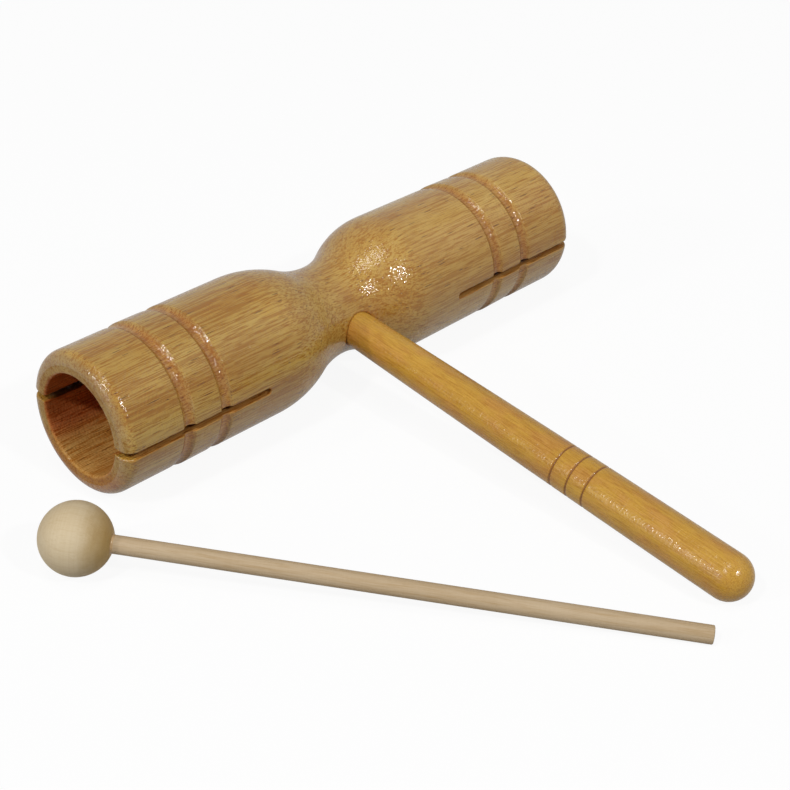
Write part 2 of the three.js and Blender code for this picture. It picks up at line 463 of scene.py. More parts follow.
# Places in millimetres from the body's middle between which one tone fades into the next. Down a
# cove, down a face, up a chamber, to the back and into a slit, it fades into painted shade.
LOW_TO_HIGH_END = (-75.0, 45.0)
FIBRES_TO_HIGH_END = (-10.0, 40.0)
DOWN_A_COVE = (8.0, -4.0)
DOWN_A_FACE = (-5.0, -15.0)
UP_A_CHAMBER = (-15.0, -8.0)
TO_THE_BACK = (5.0, 14.0)
INTO_A_SLIT = (24.0, 20.5)

# What vessels do to the body's relief and roughness.
FINE_RELIEF_SHARE = 0.6
VESSEL_ROUGHNESS = 0.1

# Run of the darker tone over the ball's half towards the hole and its wander, in millimetres, and the
# wander's scale.
HOLE_SIDE_RUN = 9.0
HOLE_SIDE_WANDER = 4.0
HOLE_SIDE_SCALE = 0.25

# The glue's scale per millimetre, its darker share, and its least and added roughness.
GLUE_SCALE = 0.9
GLUE_DARK_SHARE = 0.7
GLUE_ROUGHNESS = (0.18, 0.15)

# Specular levels.
LACQUERED = 0.55
BARE = 0.08
HANDLE_LACQUER = 0.34
SANDED = 0.3


def shader_group(name, numbers, outputs):
    """An empty shader group that takes a place and numbers, and gives numbers."""
    inputs = {"Vector": (VECTOR, None)}
    inputs.update({label: (FLOAT, default) for label, default in numbers.items()})
    return named_group(name, "ShaderNodeTree", inputs, dict.fromkeys(outputs, FLOAT))


def vessel_group(name):
    """Open vessels of wood whose grain runs along X: short tubes, each with its own strength."""
    group, given, out = shader_group(name, {**HANDLE_VESSELS, "Start": 0.0}, ["Mask"])
    x, y, z = separate(group, given["Vector"])
    gap = given["Gap"]
    cells = combine(group, x / given["Length"] + given["Start"], y / gap, z / gap)
    wobble = noise(group, given["Vector"], WOBBLE_SCALE, detail=1.0) * WOBBLE_SHARE
    cells = add_node(group, "ShaderNodeVectorMath", {0: cells, 1: wobble}, operation="ADD")
    voronoi = add_node(group, "ShaderNodeTexVoronoi", {"Vector": Wire(group, cells.outputs[0])})
    voronoi.inputs["Scale"].default_value = 1.0
    picked = separate(group, Wire(group, voronoi.outputs["Color"]))[0]
    least, added = VESSEL_WIDTHS
    width = given["Width"] * (least + picked * added)
    mask = ramp(group, Wire(group, voronoi.outputs["Distance"]), width, width * VESSEL_CORE)
    least, added = VESSEL_STRENGTHS
    strength = least + ramp(group, picked, WEAKEST_VESSELS, 1.0) * added
    feed(group, out.inputs["Mask"], mask * strength)
    return group


def straight_grain_group(name):
    """Solid wood whose grain runs along X: fibres, streaks, growth layers and slow drift."""
    outputs = ("Fibre", "Streak", "Layers", "Drift")
    group, given, out = shader_group(name, BODY_WOOD["grain"], outputs)
    place = given["Vector"]
    x, y, z = separate(group, place)

    drift = grain_noise(group, place, *DRIFT)
    fibre = grain_noise(group, place, FIBRE_SHARE, given["Fibre Scale"], detail=1.0)
    scale = given["Streak Scale"]
    streak = grain_noise(group, place, STREAK_SHARE, scale, 3.0, STREAK_ROUGHNESS)

    # Growth layers are tubes round the pith, and their late wood ends sharply.
    wander = grain_noise(group, place, *LAYER_WANDER) * given["Layer Wander"]
    y, z = y - PITH[0], z - PITH[1]
    from_pith = maths(group, "SQRT", y * y + z * z)
    depth = (from_pith + wander + x * LAYER_LEAN) / given["Layer Gap"]
    turn = maths(group, "FRACT", depth)
    late = maths(group, "POWER", turn, LATE_POWER) * ramp(group, turn, 1.0, LATE_END)

    for label, wire in zip(outputs, (fibre, streak, late, drift)):
        feed(group, out.inputs[label], wire)
    return group


def skin_group(name):
    """The skin of a lacquered or sanded surface: its height in millimetres and its unevenness."""
    numbers = {"Vessels": 0.0, "Fibre": 0.5, **BODY_WOOD["skin"]}
    group, given, out = shader_group(name, numbers, ("Height", "Unevenness", "Dull"))
    place = given["Vector"]
    # The tool and the sandpaper ran round the piece, so their marks vary along it.
    turning = lathe_noise(group, place, *TURNING_MARKS)
    grit = noise(group, place, GRIT_SCALE, detail=0.0)
    height = (turning - 0.5) * given["Turning"] + (grit - 0.5) * given["Grit"]
    height = height + (given["Fibre"] - 0.5) * given["Fibre Depth"]
    height = height - given["Vessels"] * given["Vessel Depth"]
    feed(group, out.inputs["Height"], height + 1.0)
    feed(group, out.inputs["Unevenness"], noise(group, place, UNEVEN_SCALE, detail=3.0))
    # Between bright specks the skin is duller, which spreads a lamp's light round its glint.
    dull = grain_noise(group, place, *DULL_PATCHES)
    feed(group, out.inputs["Dull"], ramp(group, dull, *DULL_LIMITS))
    return group


SHARED_GROUPS = {
    "Vessels": vessel_group,
    "Straight grain": straight_grain_group,
    "Surface skin": skin_group,
}


def use_group(tree, name, place, values):
    """Places a shared group with its values. The group is built the first time."""
    node = tree.nodes.new("ShaderNodeGroup")
    node.node_tree = bpy.data.node_groups.get(name) or SHARED_GROUPS[name](name)
    for label, value in {"Vector": place, **values}.items():
        feed(tree, node.inputs[label], value)
    return {socket.name: Wire(tree, socket) for socket in node.outputs}


def new_material(name):
    """A material with a bare Principled surface. Returns the material, its tree and the shader."""
    material = bpy.data.materials.new(name)
    material.use_nodes = True
    tree = material.node_tree
    shader = next(n for n in tree.nodes if n.type == "BSDF_PRINCIPLED")
    return material, tree, shader


def object_place(tree, centre=(0.0, 0.0, 0.0), turn=None):
    """Object coordinates in millimetres from a centre, turned so that the grain lies along X."""
    coordinates = add_node(tree, "ShaderNodeTexCoord").outputs["Object"]
    node = add_node(tree, "ShaderNodeMapping", {"Vector": Wire(tree, coordinates)})
    node.vector_type = "TEXTURE"
    node.inputs["Location"].default_value = centre
    if turn is not None:
        node.inputs["Rotation"].default_value = turn.to_euler()
    return stretch(tree, Wire(tree, node.outputs[0]), MILLIMETRES, MILLIMETRES, MILLIMETRES)


def place_along(tree, matrix):
    """The same for a turned piece, whose grain lies along its own Z."""
    axes = matrix.to_3x3()
    along, side = axes.col[2], axes.col[0]
    turn = Matrix((along, side, along.cross(side))).transposed()
    return object_place(tree, matrix.translation, turn)


def attribute(tree, name):
    """A number kept on the piece's own mesh."""
    node = add_node(tree, "ShaderNodeAttribute", attribute_name=name)
    return Wire(tree, node.outputs["Fac"])


def grain_of(tree, place, wood):
    """A wood's fibres, and how much each mask of its grain darkens it."""
    grain = use_group(tree, "Straight grain", place, wood["grain"])
    shades = {"Layers": grain["Layers"] * wood["layers"]}
    for mask, (low, high, most) in wood["shades"].items():
        shades[mask] = ramp(tree, grain[mask], low, high, 0.0, most)
    return grain["Fibre"], shades


def skin_of(tree, place, wood, vessels, fibre, dulled=1.0):
    """A wood's relief in millimetres, and its roughness, which dull patches raise where dulled."""
    values = {"Vessels": vessels, "Fibre": fibre, **wood["skin"]}
    skin = use_group(tree, "Surface skin", place, values)
    least, uneven, dull = wood["roughness"]
    roughness = least + skin["Unevenness"] * uneven + skin["Dull"] * dulled * dull
    return skin["Height"], roughness


def dress(tree, shader, colour, roughness, level, height):
    """Gives a shader its colour, its roughness, its specular level and a relief in millimetres."""
    feed(tree, shader.inputs["Base Color"], colour)
    feed(tree, shader.inputs["Roughness"], roughness)
    shader.inputs["Specular IOR Level"].default_value = level
    bump = add_node(tree, "ShaderNodeBump", {"Height": height})
    bump.inputs["Distance"].default_value = 1.0 / MILLIMETRES
    bump.inputs["Strength"].default_value = 1.0
    tree.links.new(bump.outputs["Normal"], shader.inputs["Normal"])


def body_tone(tree, place, masks, across, finishes):
    """The body's colour under its grain, with its coves, cut faces, chambers and slits, and the
    painted shade low on the coves and faces, high in the chambers and in the slits.
    """
    along, outward, up = separate(tree, place)

    def fade(value, places, first, second):
        return blend_colour(tree, ramp(tree, value, *places), first, second)

    tone = fade(along, LOW_TO_HIGH_END, finishes.body, finishes.high_body)
    patches = ramp(tree, grain_noise(tree, place, *OCHRE_PATCHES), *OCHRE_LIMITS)
    tone = blend_colour(tree, patches, tone, finishes.ochre)
    # Painted shade: the coves turn deeper amber low on the body.
    hollow = fade(up, DOWN_A_COVE, finishes.cove, finishes.shaded_low_cove)
    tone = blend_colour(tree, masks["cove"] * COVE_SHARE, tone, hollow)
    # Painted shade: the cut faces turn darker and redder low on the mouths.
    face = fade(up, DOWN_A_FACE, finishes.cross_cut, finishes.shaded_low_cut)
    tone = blend_colour(tree, across * CUT_SHARE, tone, face)
    # Painted shade: the chambers turn darker and ruddier higher up.
    chamber = fade(up, UP_A_CHAMBER, finishes.chamber, finishes.chamber_shade)
    tone = blend_colour(tree, masks["inside"], tone, chamber)
    walls = ramp(tree, masks["sawn"], *SAWN_LIMITS)
    tone = blend_colour(tree, walls, tone, finishes.sawn)
    # Painted shade: the slits' walls turn almost black at the back, and a little darker deep in the
    # front slits, where shadow falls in them.
    from_axis = maths(tree, "SQRT", outward * outward + up * up)
    behind = ramp(tree, outward, *TO_THE_BACK) * walls * BACK_SHADE_SHARE
    deep = ramp(tree, from_axis, *INTO_A_SLIT) * walls * DEEP_SHADE_SHARE
    return blend_colour(tree, maths(tree, "MAXIMUM", behind, deep), tone, SLIT_SHADE)


def body_material(name, finishes, level):
    """Hardwood of the body. It has painted shade high in the chambers, darker and ruddier, and is
    duller where it is cut across.
    """
    material, tree, shader = new_material(name)
    place = object_place(tree, BODY_MIDDLE)
    masks = {mask: attribute(tree, mask) for mask in ("inside", "sawn", "cove", "cross_cut")}
    beside_coves = 1.0 - masks["cove"] * COVE_SHARE
    tilt = ramp(tree, masks["cross_cut"], *TILTED) * beside_coves
    across = ramp(tree, masks["cross_cut"], *CUT_ACROSS) * beside_coves
    width = FINE_WIDTH + tilt * TILT_WIDTH - across * ACROSS_WIDTH
    fine = use_group(tree, "Vessels", place, {**FINE_VESSELS, "Width": width})["Mask"]
    fine = fine * (1.0 - tilt * FINE_LOSS)
    bold = use_group(tree, "Vessels", place, BOLD_VESSELS)["Mask"] * (1.0 - tilt * BOLD_LOSS)

    fibre, shades = grain_of(tree, place, BODY_WOOD)
    at_high_end = ramp(tree, separate(tree, place)[0], *FIBRES_TO_HIGH_END)
    kept = 1.0 - tilt * FIBRE_LOSS - at_high_end * HIGH_END_LOSS
    share = shades["Drift"] + shades["Layers"] + shades["Streak"] + shades["Fibre"] * kept
    tone = body_tone(tree, place, masks, across, finishes)
    colour = blend_colour(tree, share, tone, finishes.body_grain, "MULTIPLY")
    colour = blend_colour(tree, fine * FINE_SHADE, colour, finishes.vessel, "MULTIPLY")
    colour = blend_colour(tree, bold, colour, finishes.vessel, "MULTIPLY")

    vessels = maths(tree, "MAXIMUM", fine * FINE_RELIEF_SHARE, bold)
    height, roughness = skin_of(tree, place, BODY_WOOD, vessels, fibre, 1.0 - masks["cove"])
    dress(tree, shader, colour, roughness + vessels * VESSEL_ROUGHNESS, level, height)
    return material


def handle_material(finishes, matrix):
    """Clear-lacquered dowel, closer in grain and yellower than the body."""
    material, tree, shader = new_material("lacquered handle wood")
    place = place_along(tree, matrix)
    vessels = use_group(tree, "Vessels", place, HANDLE_VESSELS)["Mask"]
    fibre, shades = grain_of(tree, place, HANDLE_WOOD)
    patches = ramp(tree, grain_noise(tree, place, *TINT_PATCHES), *TINT_LIMITS)
    tone = blend_colour(tree, patches, finishes.handle, finishes.handle_tint)
    share = shades["Drift"] + shades["Layers"] + shades["Streak"] + shades["Fibre"]
    share = share + vessels * HANDLE_VESSEL_SHADE
    colour = blend_colour(tree, share, tone, finishes.handle_grain, "MULTIPLY")
    colour = blend_colour(tree, attribute(tree, "groove"), colour, finishes.ring)
    height, roughness = skin_of(tree, place, HANDLE_WOOD, vessels, fibre)
    dress(tree, shader, colour, roughness, HANDLE_LACQUER, height)
    return material


def raw_wood_material(name, finishes, tone, matrix, streaks, rings, stain_start=None):
    """Sanded wood without lacquer, with streaks along its grain and the lathe's rings round it.
    From a start in millimetres along its grain it can turn towards a darker tone."""
    material, tree, shader = new_material(name)
    place = place_along(tree, matrix)
    vessels = use_group(tree, "Vessels", place, RAW_VESSELS)["Mask"]
    fibre, shades = grain_of(tree, place, RAW_WOOD)
    turned = ramp(tree, lathe_noise(tree, place, *LATHE_RINGS), *RING_LIMITS)
    if stain_start is not None:
        wander = noise(tree, place, HOLE_SIDE_SCALE, detail=2.0) * HOLE_SIDE_WANDER - HOLE_SIDE_WANDER / 2
        along = separate(tree, place)[0] + wander
        near_hole = ramp(tree, along, stain_start, stain_start + HOLE_SIDE_RUN)
        tone = blend_colour(tree, near_hole, tone, finishes.hole_side_tone)
    share = (shades["Streak"] + shades["Fibre"]) * streaks + shades["Layers"]
    share = share + vessels * RAW_VESSEL_SHADE + shades["Drift"] + turned * rings
    colour = blend_colour(tree, share, tone, finishes.raw_grain, "MULTIPLY")
    height, roughness = skin_of(tree, place, RAW_WOOD, vessels, fibre)
    dress(tree, shader, colour, roughness, SANDED, height + turned * RING_DEPTH)
    return material


def glue_material(finishes):
    """Dried glue, glossy and a little uneven in tone."""
    material, tree, shader = new_material("dried glue")
    cloud = noise(tree, object_place(tree), GLUE_SCALE, detail=2.0)
    dark = [channel * GLUE_DARK_SHARE for channel in finishes.glue]
    feed(tree, shader.inputs["Base Color"], blend_colour(tree, cloud, finishes.glue, dark))
    least, added = GLUE_ROUGHNESS
    feed(tree, shader.inputs["Roughness"], least + cloud * added)
    return material


# Meshes


def spread(start, end, step):
    """Evenly spaced numbers from start to end, about a step apart."""
    return np.linspace(start, end, max(1, round(abs(end - start) / step)) + 1)


def shell_mesh(name, patches):
    """Grids of points welded into one closed shell whose faces point outwards."""
    points = []
    faces = []
    count = 0
    for grid in patches:
        rows, columns = grid.shape[:2]
        points.append(grid.reshape(-1, 3))
        index = count + np.arange(rows * columns).reshape(rows, columns)
        quads = np.stack(
            [index[:-1, :-1], index[1:, :-1], index[1:, 1:], index[:-1, 1:]], axis=-1
        )
        faces.append(quads.reshape(-1, 4))
        count += rows * columns
    mesh = bpy.data.meshes.new(name)
    mesh.from_pydata(np.concatenate(points).tolist(), [], np.concatenate(faces).tolist())
    finish_shell(mesh)
    return mesh


def finish_shell(mesh):
    """Welds doubles, drops faces without area and points the rest outwards."""
    shell = bmesh.new()
    shell.from_mesh(mesh)
    bmesh.ops.remove_doubles(shell, verts=shell.verts, dist=WELD)
    bmesh.ops.dissolve_degenerate(shell, edges=shell.edges, dist=WELD)
    bmesh.ops.recalc_face_normals(shell, faces=shell.faces)
    open_edges = sum(1 for edge in shell.edges if not edge.is_manifold)
    if open_edges:
        raise RuntimeError(f"{mesh.name}: {open_edges} edges are open")
    shell.to_mesh(mesh)
    shell.free()
    mesh.shade_smooth()


def vertex_array(mesh):
    """The mesh's vertices as an array of points."""
    flat = np.empty(len(mesh.vertices) * 3, np.float32)
    mesh.vertices.foreach_get("co", flat)
    return flat.reshape(-1, 3).astype(float)


def write_attribute(mesh, name, values):
    """Keeps a number on each vertex."""
    layer = mesh.attributes.new(name, "FLOAT", "POINT")
    layer.data.foreach_set("value", np.asarray(values, np.float32))


def smooth_step(low, high, value):
    """A smooth step from 0 at low to 1 at high."""
    share = np.clip((value - low) / (high - low), 0.0, 1.0)
    return share * share * (3.0 - 2.0 * share)


def show_piece(mesh, material, body, node=None):
    """Makes a mesh a piece of the object, on its body and in place of its solid."""
    mesh.materials.clear()
    mesh.materials.append(material)
    piece = bpy.data.objects.new(mesh.name, mesh)
    bpy.context.scene.collection.objects.link(piece)
    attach(piece, body)
    if node is not None:
        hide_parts(node)


# Tone body

# Half widths of the windows that the finer meshes of a slit's end and of the socket fill.
WINDOW = 0.0042
SOCKET_WINDOW = 0.0105

# Distances between rows on the barrels, in the chambers and on the waist.
BARREL_STEP = 0.0018
CHAMBER_STEP = 0.0016
WAIST_STEP = 0.0011

# Rows and columns of the shell's parts.
WINDOW_ROWS = 8
WINDOW_COLUMNS = 16
LIP_COLUMNS = 6
CROWN_COLUMNS = 44
FILLET_STEPS = 4
WALL_STEPS = 4
SOCKET_RINGS = 7
SOCKET_STEPS = 6
SOCKET_FLOOR_STEPS = 4
CHAMBER_FLOOR_ROWS = 8
CHAMBER_CORNER_STEPS = 5
EASE_STEPS = 4
FACE_ROWS = 6
RIM_STEPS = 10
COVE_ROWS = 6
COVE_EDGE_SHARES = (0.0, 0.34, 0.67)
CROWDING = 1.4

# Distance over which the turned outline's slope is taken.
SLOPE_STEP = 1e-6

# Waves of a slit's rounded edge: share of the rounding, turns in radians per metre and start.
EDGE_WAVES = ((0.22, 900.0, 0.0), (0.15, 2300.0, 1.3))
CALM_END = 0.003

# Distances from the mouth over which the chipped edge ends, and its wall beyond the bore.
CHIP_END = (0.0012, 0.0065)
CHIP_WALL = 0.002

# The saw cuts' colour, and with it their painted shade, starts pale at the mouth, and is full at this
# distance from it.
SAWN_START_SHARE = 0.25
SAWN_FULL = 0.006

# Where the gathered lacquer fades out, in half widths of a cove, and where the painted light on the
# socket's rounding fades out, in roundings of the socket.
COVE_FADE_SHARES = (0.5, 1.1)
SOCKET_FADE_SHARES = (0.5, 1.3)
FACE_SHARE = 0.9

# Shares of the taper at a mouth, on both sides of its outer and its inner cove, and at the waist.
LOW_TAPER_SHARES = (1.0, 1.0, 0.1, 0.35, 0.0, 0.0)
HIGH_TAPER_SHARES = (0.4, 0.4, 0.8, 0.0, 1.0, 0.0)


def cove_shape(sizes):
    """A cove's radius, the half width of its rounded edges, and that of its hollow."""
    half = sizes.cove_width / 2
    size = (half**2 + sizes.cove_depth**2) / (2 * sizes.cove_depth)
    edge = sizes.cove_edge
    outer = math.sqrt((size + edge) ** 2 - (size - sizes.cove_depth + edge) ** 2)
    return size, outer, outer * size / (size + edge)


def cove_drop(sizes, offset):
    """How far a cove lies below the barrel, at an offset from its middle."""
    size, outer, inner = cove_shape(sizes)
    offset = abs(offset)
    if offset >= outer:
        return 0.0
    if offset > inner:
        edge = sizes.cove_edge
        return edge - math.sqrt(edge**2 - (outer - offset) ** 2)
    return sizes.cove_depth - size + math.sqrt(size**2 - offset**2)


def at_end(sizes, side, *names):
    """Sizes of the low end, where side is below 0, or of the high end."""
    end = "low_" if side < 0 else "high_"
    return [getattr(sizes, end + name) for name in names]


def slope_arcs(sizes, x):
    """The run, hollow radius, round radius and sweep of the waist's slope on one side."""
    run = at_end(sizes, x, "shoulder")[0]
    sweep = 2 * math.atan((sizes.radius - sizes.waist_radius) / run)
    reach = run / math.sin(sweep)
    hollow = sizes.hollow_share * reach
    return run, hollow, reach - hollow, sweep


def outline_radius(sizes, x):
    """The turned outline between the rims, at x from the body's middle."""
    run, hollow, rounded, sweep = slope_arcs(sizes, x)
    away = abs(x)
    if away < hollow * math.sin(sweep):
        return sizes.waist_radius + hollow - math.sqrt(hollow**2 - away**2)
    if away < run:
        return sizes.radius - rounded + math.sqrt(rounded**2 - (run - away) ** 2)
    from_mouth = sizes.length / 2 - away
    coves = at_end(sizes, x, "outer_cove", "inner_cove")
    drop = max(cove_drop(sizes, from_mouth - middle) for middle in coves)
    return barrel_radius(sizes, x, from_mouth) - drop


def barrel_radius(sizes, side, from_mouth):
    """A barrel's radius between its coves. Each stretch was turned a little thinner or fuller."""
    outer, inner, taper = at_end(sizes, side, "outer_cove", "inner_cove", "taper")
    half = sizes.cove_width / 2
    end = sizes.length / 2 - slope_arcs(sizes, side)[0]
    places = (0.0, outer - half, outer + half, inner - half, inner + half, end)
    shares = LOW_TAPER_SHARES if side < 0 else HIGH_TAPER_SHARES
    return sizes.radius - taper * float(np.interp(from_mouth, places, shares))


def outline_station(sizes, x):
    """A row of the turned outline: its place, its radius and its normal."""
    rise = outline_radius(sizes, x + SLOPE_STEP) - outline_radius(sizes, x - SLOPE_STEP)
    slope = rise / (2 * SLOPE_STEP)
    scale = math.hypot(1.0, slope)
    return x, outline_radius(sizes, x), -slope / scale, 1 / scale


def barrel_distances(sizes, side):
    """Distances from a mouth of the barrel's rows, from its rim to the slit's round end."""
    _, outer, inner = cove_shape(sizes)
    edge = [outer + (inner - outer) * share for share in COVE_EDGE_SHARES]
    half_cove = np.array([*edge, *np.linspace(inner, 0.0, COVE_ROWS)])
    rim, slit, *coves = at_end(sizes, side, "rim", "slit", "outer_cove", "inner_cove")
    stops = [rim]
    for middle in coves:
        stops.extend(spread(stops[-1], middle - outer, BARREL_STEP)[1:-1])
        stops.extend(middle - half_cove)
        stops.extend((middle + half_cove[:-1])[::-1])
    stops.extend(spread(stops[-1], slit - sizes.slit_width / 2, BARREL_STEP)[1:])
    return np.array(stops)


def end_rows(sizes, side):
    """Rows of one end, from the middle of the chamber's floor, over the mouth, to the rim."""
    rim, depth = at_end(sizes, side, "rim", "bore")
    mouth_radius = barrel_radius(sizes, side, rim)
    bore, corner, ease = sizes.bore_radius, sizes.floor_corner, sizes.bore_ease
    shared = barrel_distances(sizes, side)

    def at(distance):
        return side * (sizes.length / 2 - distance)

    def turning(distance, radius, size, start, end, steps, hollow=False):
        reach = -size if hollow else size
        for angle in np.linspace(start, end, steps + 1)[1:]:
            normal = (side * math.cos(angle), math.sin(angle))
            rows.append((at(distance) + reach * normal[0], radius + reach * normal[1], *normal))

    floor = np.linspace(0, bore - corner, CHAMBER_FLOOR_ROWS)
    rows = [(at(depth), radius, side, 0.0) for radius in floor]
    turning(depth - corner, bore - corner, corner, 0.0, -QUARTER, CHAMBER_CORNER_STEPS, hollow=True)
    window_end = shared[-1] + WINDOW
    inner = [*spread(depth - corner, window_end, CHAMBER_STEP)[1:]]
    inner.extend(np.linspace(window_end, shared[-1], WINDOW_ROWS + 1)[1:])
    lip_start = len(rows) + len(inner) - 1
    inner.extend(shared[-2::-1])
    inner.extend(np.linspace(shared[0], ease, EASE_STEPS)[1:])
    rows.extend((at(distance), bore, 0.0, -1.0) for distance in inner)
    turning(ease, bore + ease, ease, -QUARTER, 0.0, EASE_STEPS)
    face = np.linspace(bore + ease, mouth_radius - rim, FACE_ROWS)[1:]
    rows.extend((at(0.0), radius, side, 0.0) for radius in face)
    turning(rim, mouth_radius - rim, rim, 0.0, QUARTER, RIM_STEPS)
    rows.extend(outline_station(sizes, at(distance)) for distance in shared[1:])
    return rows, lip_start


def waist_places(sizes, socket_x):
    """Places of the rows between the two slits' round ends."""
    low, high = (barrel_distances(sizes, side)[-1] for side in (-1, 1))
    half = sizes.length / 2
    low_end, high_end = low + WINDOW - half, half - high - WINDOW
    stops = [low - half]
    for start, end, count in (
        (stops[0], low_end, WINDOW_ROWS),
        (low_end, socket_x - SOCKET_WINDOW, None),
        (socket_x - SOCKET_WINDOW, socket_x + SOCKET_WINDOW, WINDOW_COLUMNS),
        (socket_x + SOCKET_WINDOW, high_end, None),
        (high_end, half - high, WINDOW_ROWS),
    ):
        even = spread(start, end, WAIST_STEP) if count is None else np.linspace(start, end, count + 1)
        stops.extend(even[1:])
    return np.array(stops)


def crowded_shares(count):
    """Shares from 0 to 1 that lie closer together near 0."""
    return (np.arange(count + 1) / count) ** CROWDING


def rings_round_hole(border, centre, size, edge, count):
    """Flat rings from a border in to a hole's rounded edge, and those of the rounding, each
    with how deep it has sunk as a share."""
    direction = border - centre
    direction /= np.linalg.norm(direction, axis=1)[:, None]
    start = direction * (size + edge) + centre
    around = start + (border - start) * crowded_shares(count)[:, None, None]
    turn = np.linspace(0, QUARTER, FILLET_STEPS + 1)[:, None, None]
    rounding = direction * (size + edge * (1 - np.sin(turn))) + centre
    return direction, around, rounding, 1 - np.cos(turn[..., 0])


class BodyShell:
    """Rows and columns of the tone body, and the patches that are laid between them."""

    def __init__(self, sizes, handle):
        self.sizes = sizes
        self.handle = handle
        self.half_slit = sizes.slit_width / 2
        self.roll = handle_dip(sizes, handle)
        self.slit_roll = self.roll - sizes.slit_turn
        self.back_angle = math.pi - sizes.back_turn
        low, low_lip = end_rows(sizes, -1)
        high, high_lip = end_rows(sizes, 1)
        waist = waist_places(sizes, handle.offset)
        middle = [outline_station(sizes, x) for x in waist[1:-1]]
        rows = np.array([*low, *middle, *high[::-1]])
        self.x, self.radius, self.normal_x, self.normal_r = rows.T
        count = len(rows)
        # First and last row of each lip: the part that the slit parts, from bore to barrel.
        self.low_lip = (low_lip, len(low) - 1)
        self.high_lip = (count - 1 - high_lip, count - len(high))
        span = np.zeros(count)
        outer = slice(len(low) - 1, count - len(high) + 1)
        low_edge, high_edge = waist[WINDOW_ROWS], waist[-1 - WINDOW_ROWS]
        rise = smooth_step(low_edge, handle.offset - SOCKET_WINDOW, self.x[outer])
        fall = smooth_step(high_edge, handle.offset + SOCKET_WINDOW, self.x[outer])
        span[outer] = rise * fall
        self.front_centre = -sizes.slit_turn * span
        front = WINDOW + (SOCKET_WINDOW - WINDOW) * span
        base = np.maximum(self.radius, sizes.bore_radius)
        base[outer] = self.radius[outer]
        self.front_sine = front / base
        self.back_sine = WINDOW / base
        self.socket_rows = [
            int(np.argmin(abs(self.x[outer] - edge))) + outer.start
            for edge in (handle.offset - SOCKET_WINDOW, handle.offset + SOCKET_WINDOW)
        ]
        self.patches = []

    def place(self, x, reach, height, roll, back=False):
        """Points by their reach from the axis, to the front or back, and their height, rolled."""
        x, reach, height = np.broadcast_arrays(x, reach, height)
        front = np.array([0.0, -math.cos(roll), -math.sin(roll)])
        up = np.array([0.0, -math.sin(roll), math.cos(roll)])
        sign = -1.0 if back else 1.0
        points = sign * reach[..., None] * front + height[..., None] * up
        points[..., 0] += x
        return points + np.array(BODY_MIDDLE)

    def round_points(self, rows, angles):
        """Points on rows at angles from the front, upwards over the crown."""
        radius = self.radius[rows][:, None]
        return self.place(
            self.x[rows][:, None], radius * np.cos(angles), radius * np.sin(angles), self.slit_roll
        )

    def crowns(self):
        """The body above and below the slits, from one chamber's floor to the other."""
        rows = np.arange(len(self.x))
        share = np.linspace(0, 1, CROWN_COLUMNS + 1)
        for sign, turned in ((1.0, 0.0), (-1.0, 2 * math.pi)):
            start = (self.front_centre + sign * np.arcsin(self.front_sine))[:, None]
            end = (self.back_angle - sign * np.arcsin(self.back_sine) - turned)[:, None]
            self.patches.append(self.round_points(rows, start + (end - start) * share))

    def window_angles(self, rows, back):
        """Angles of the full set of columns in a window."""
        share = np.linspace(-1, 1, WINDOW_COLUMNS + 1)
        if back:
            return self.back_angle - np.arcsin(self.back_sine[rows][:, None] * share)
        return self.front_centre[rows][:, None] + np.arcsin(self.front_sine[rows][:, None] * share)

    def strips(self, back):
        """The unparted strip at the front or back, on the waist and in the chambers."""
        low_in, low_out = self.low_lip
        high_in, high_out = self.high_lip
        last = len(self.x) - 1
        spans = [(0, low_in - WINDOW_ROWS), (high_in + WINDOW_ROWS, last)]
        if back:
            spans.append((low_out + WINDOW_ROWS, high_out - WINDOW_ROWS))
        else:
            spans.append((low_out + WINDOW_ROWS, self.socket_rows[0]))
            spans.append((self.socket_rows[1], high_out - WINDOW_ROWS))
        for first, end in spans:
            rows = np.arange(first, end + 1)
            self.patches.append(self.round_points(rows, self.window_angles(rows, back)))

    def lip_edges(self, rows, side, upper):
        """Rounding of the slit's edge on each row: a little uneven, and chipped at the lower rim."""
        from_mouth = self.sizes.length / 2 - side * self.x[rows]
        waves = sum(size * np.sin(from_mouth * turns + start) for size, turns, start in EDGE_WAVES)
        waves = waves * smooth_step(0.0, CALM_END, from_mouth.max() - from_mouth)
        edge = self.sizes.slit_edge * (1 + waves)
        if not upper:
            outside = self.radius[rows] > self.sizes.bore_radius + CHIP_WALL
            edge = edge + self.sizes.slit_chip * (1 - smooth_step(*CHIP_END, from_mouth)) * outside
        return edge

    def slit(self, side, back):
        """A slit's rounded edges, its saw-cut walls and its round inner end."""
        inner_row, outer_row = self.low_lip if side < 0 else self.high_lip
        step = 1 if outer_row > inner_row else -1
        rows = np.arange(inner_row, outer_row + step, step)
        x, radius = self.x[rows], self.radius[rows]
        # The last row meets the round end, whose edge is turned straight inwards.
        normal_x, normal_r = self.normal_x[rows], self.normal_r[rows]
        normal_x[-1], normal_r[-1] = 0.0, 1.0
        share = crowded_shares(LIP_COLUMNS)
        turn = np.linspace(0, QUARTER, FILLET_STEPS + 1)
        across = np.linspace(0, 1, WALL_STEPS + 1)
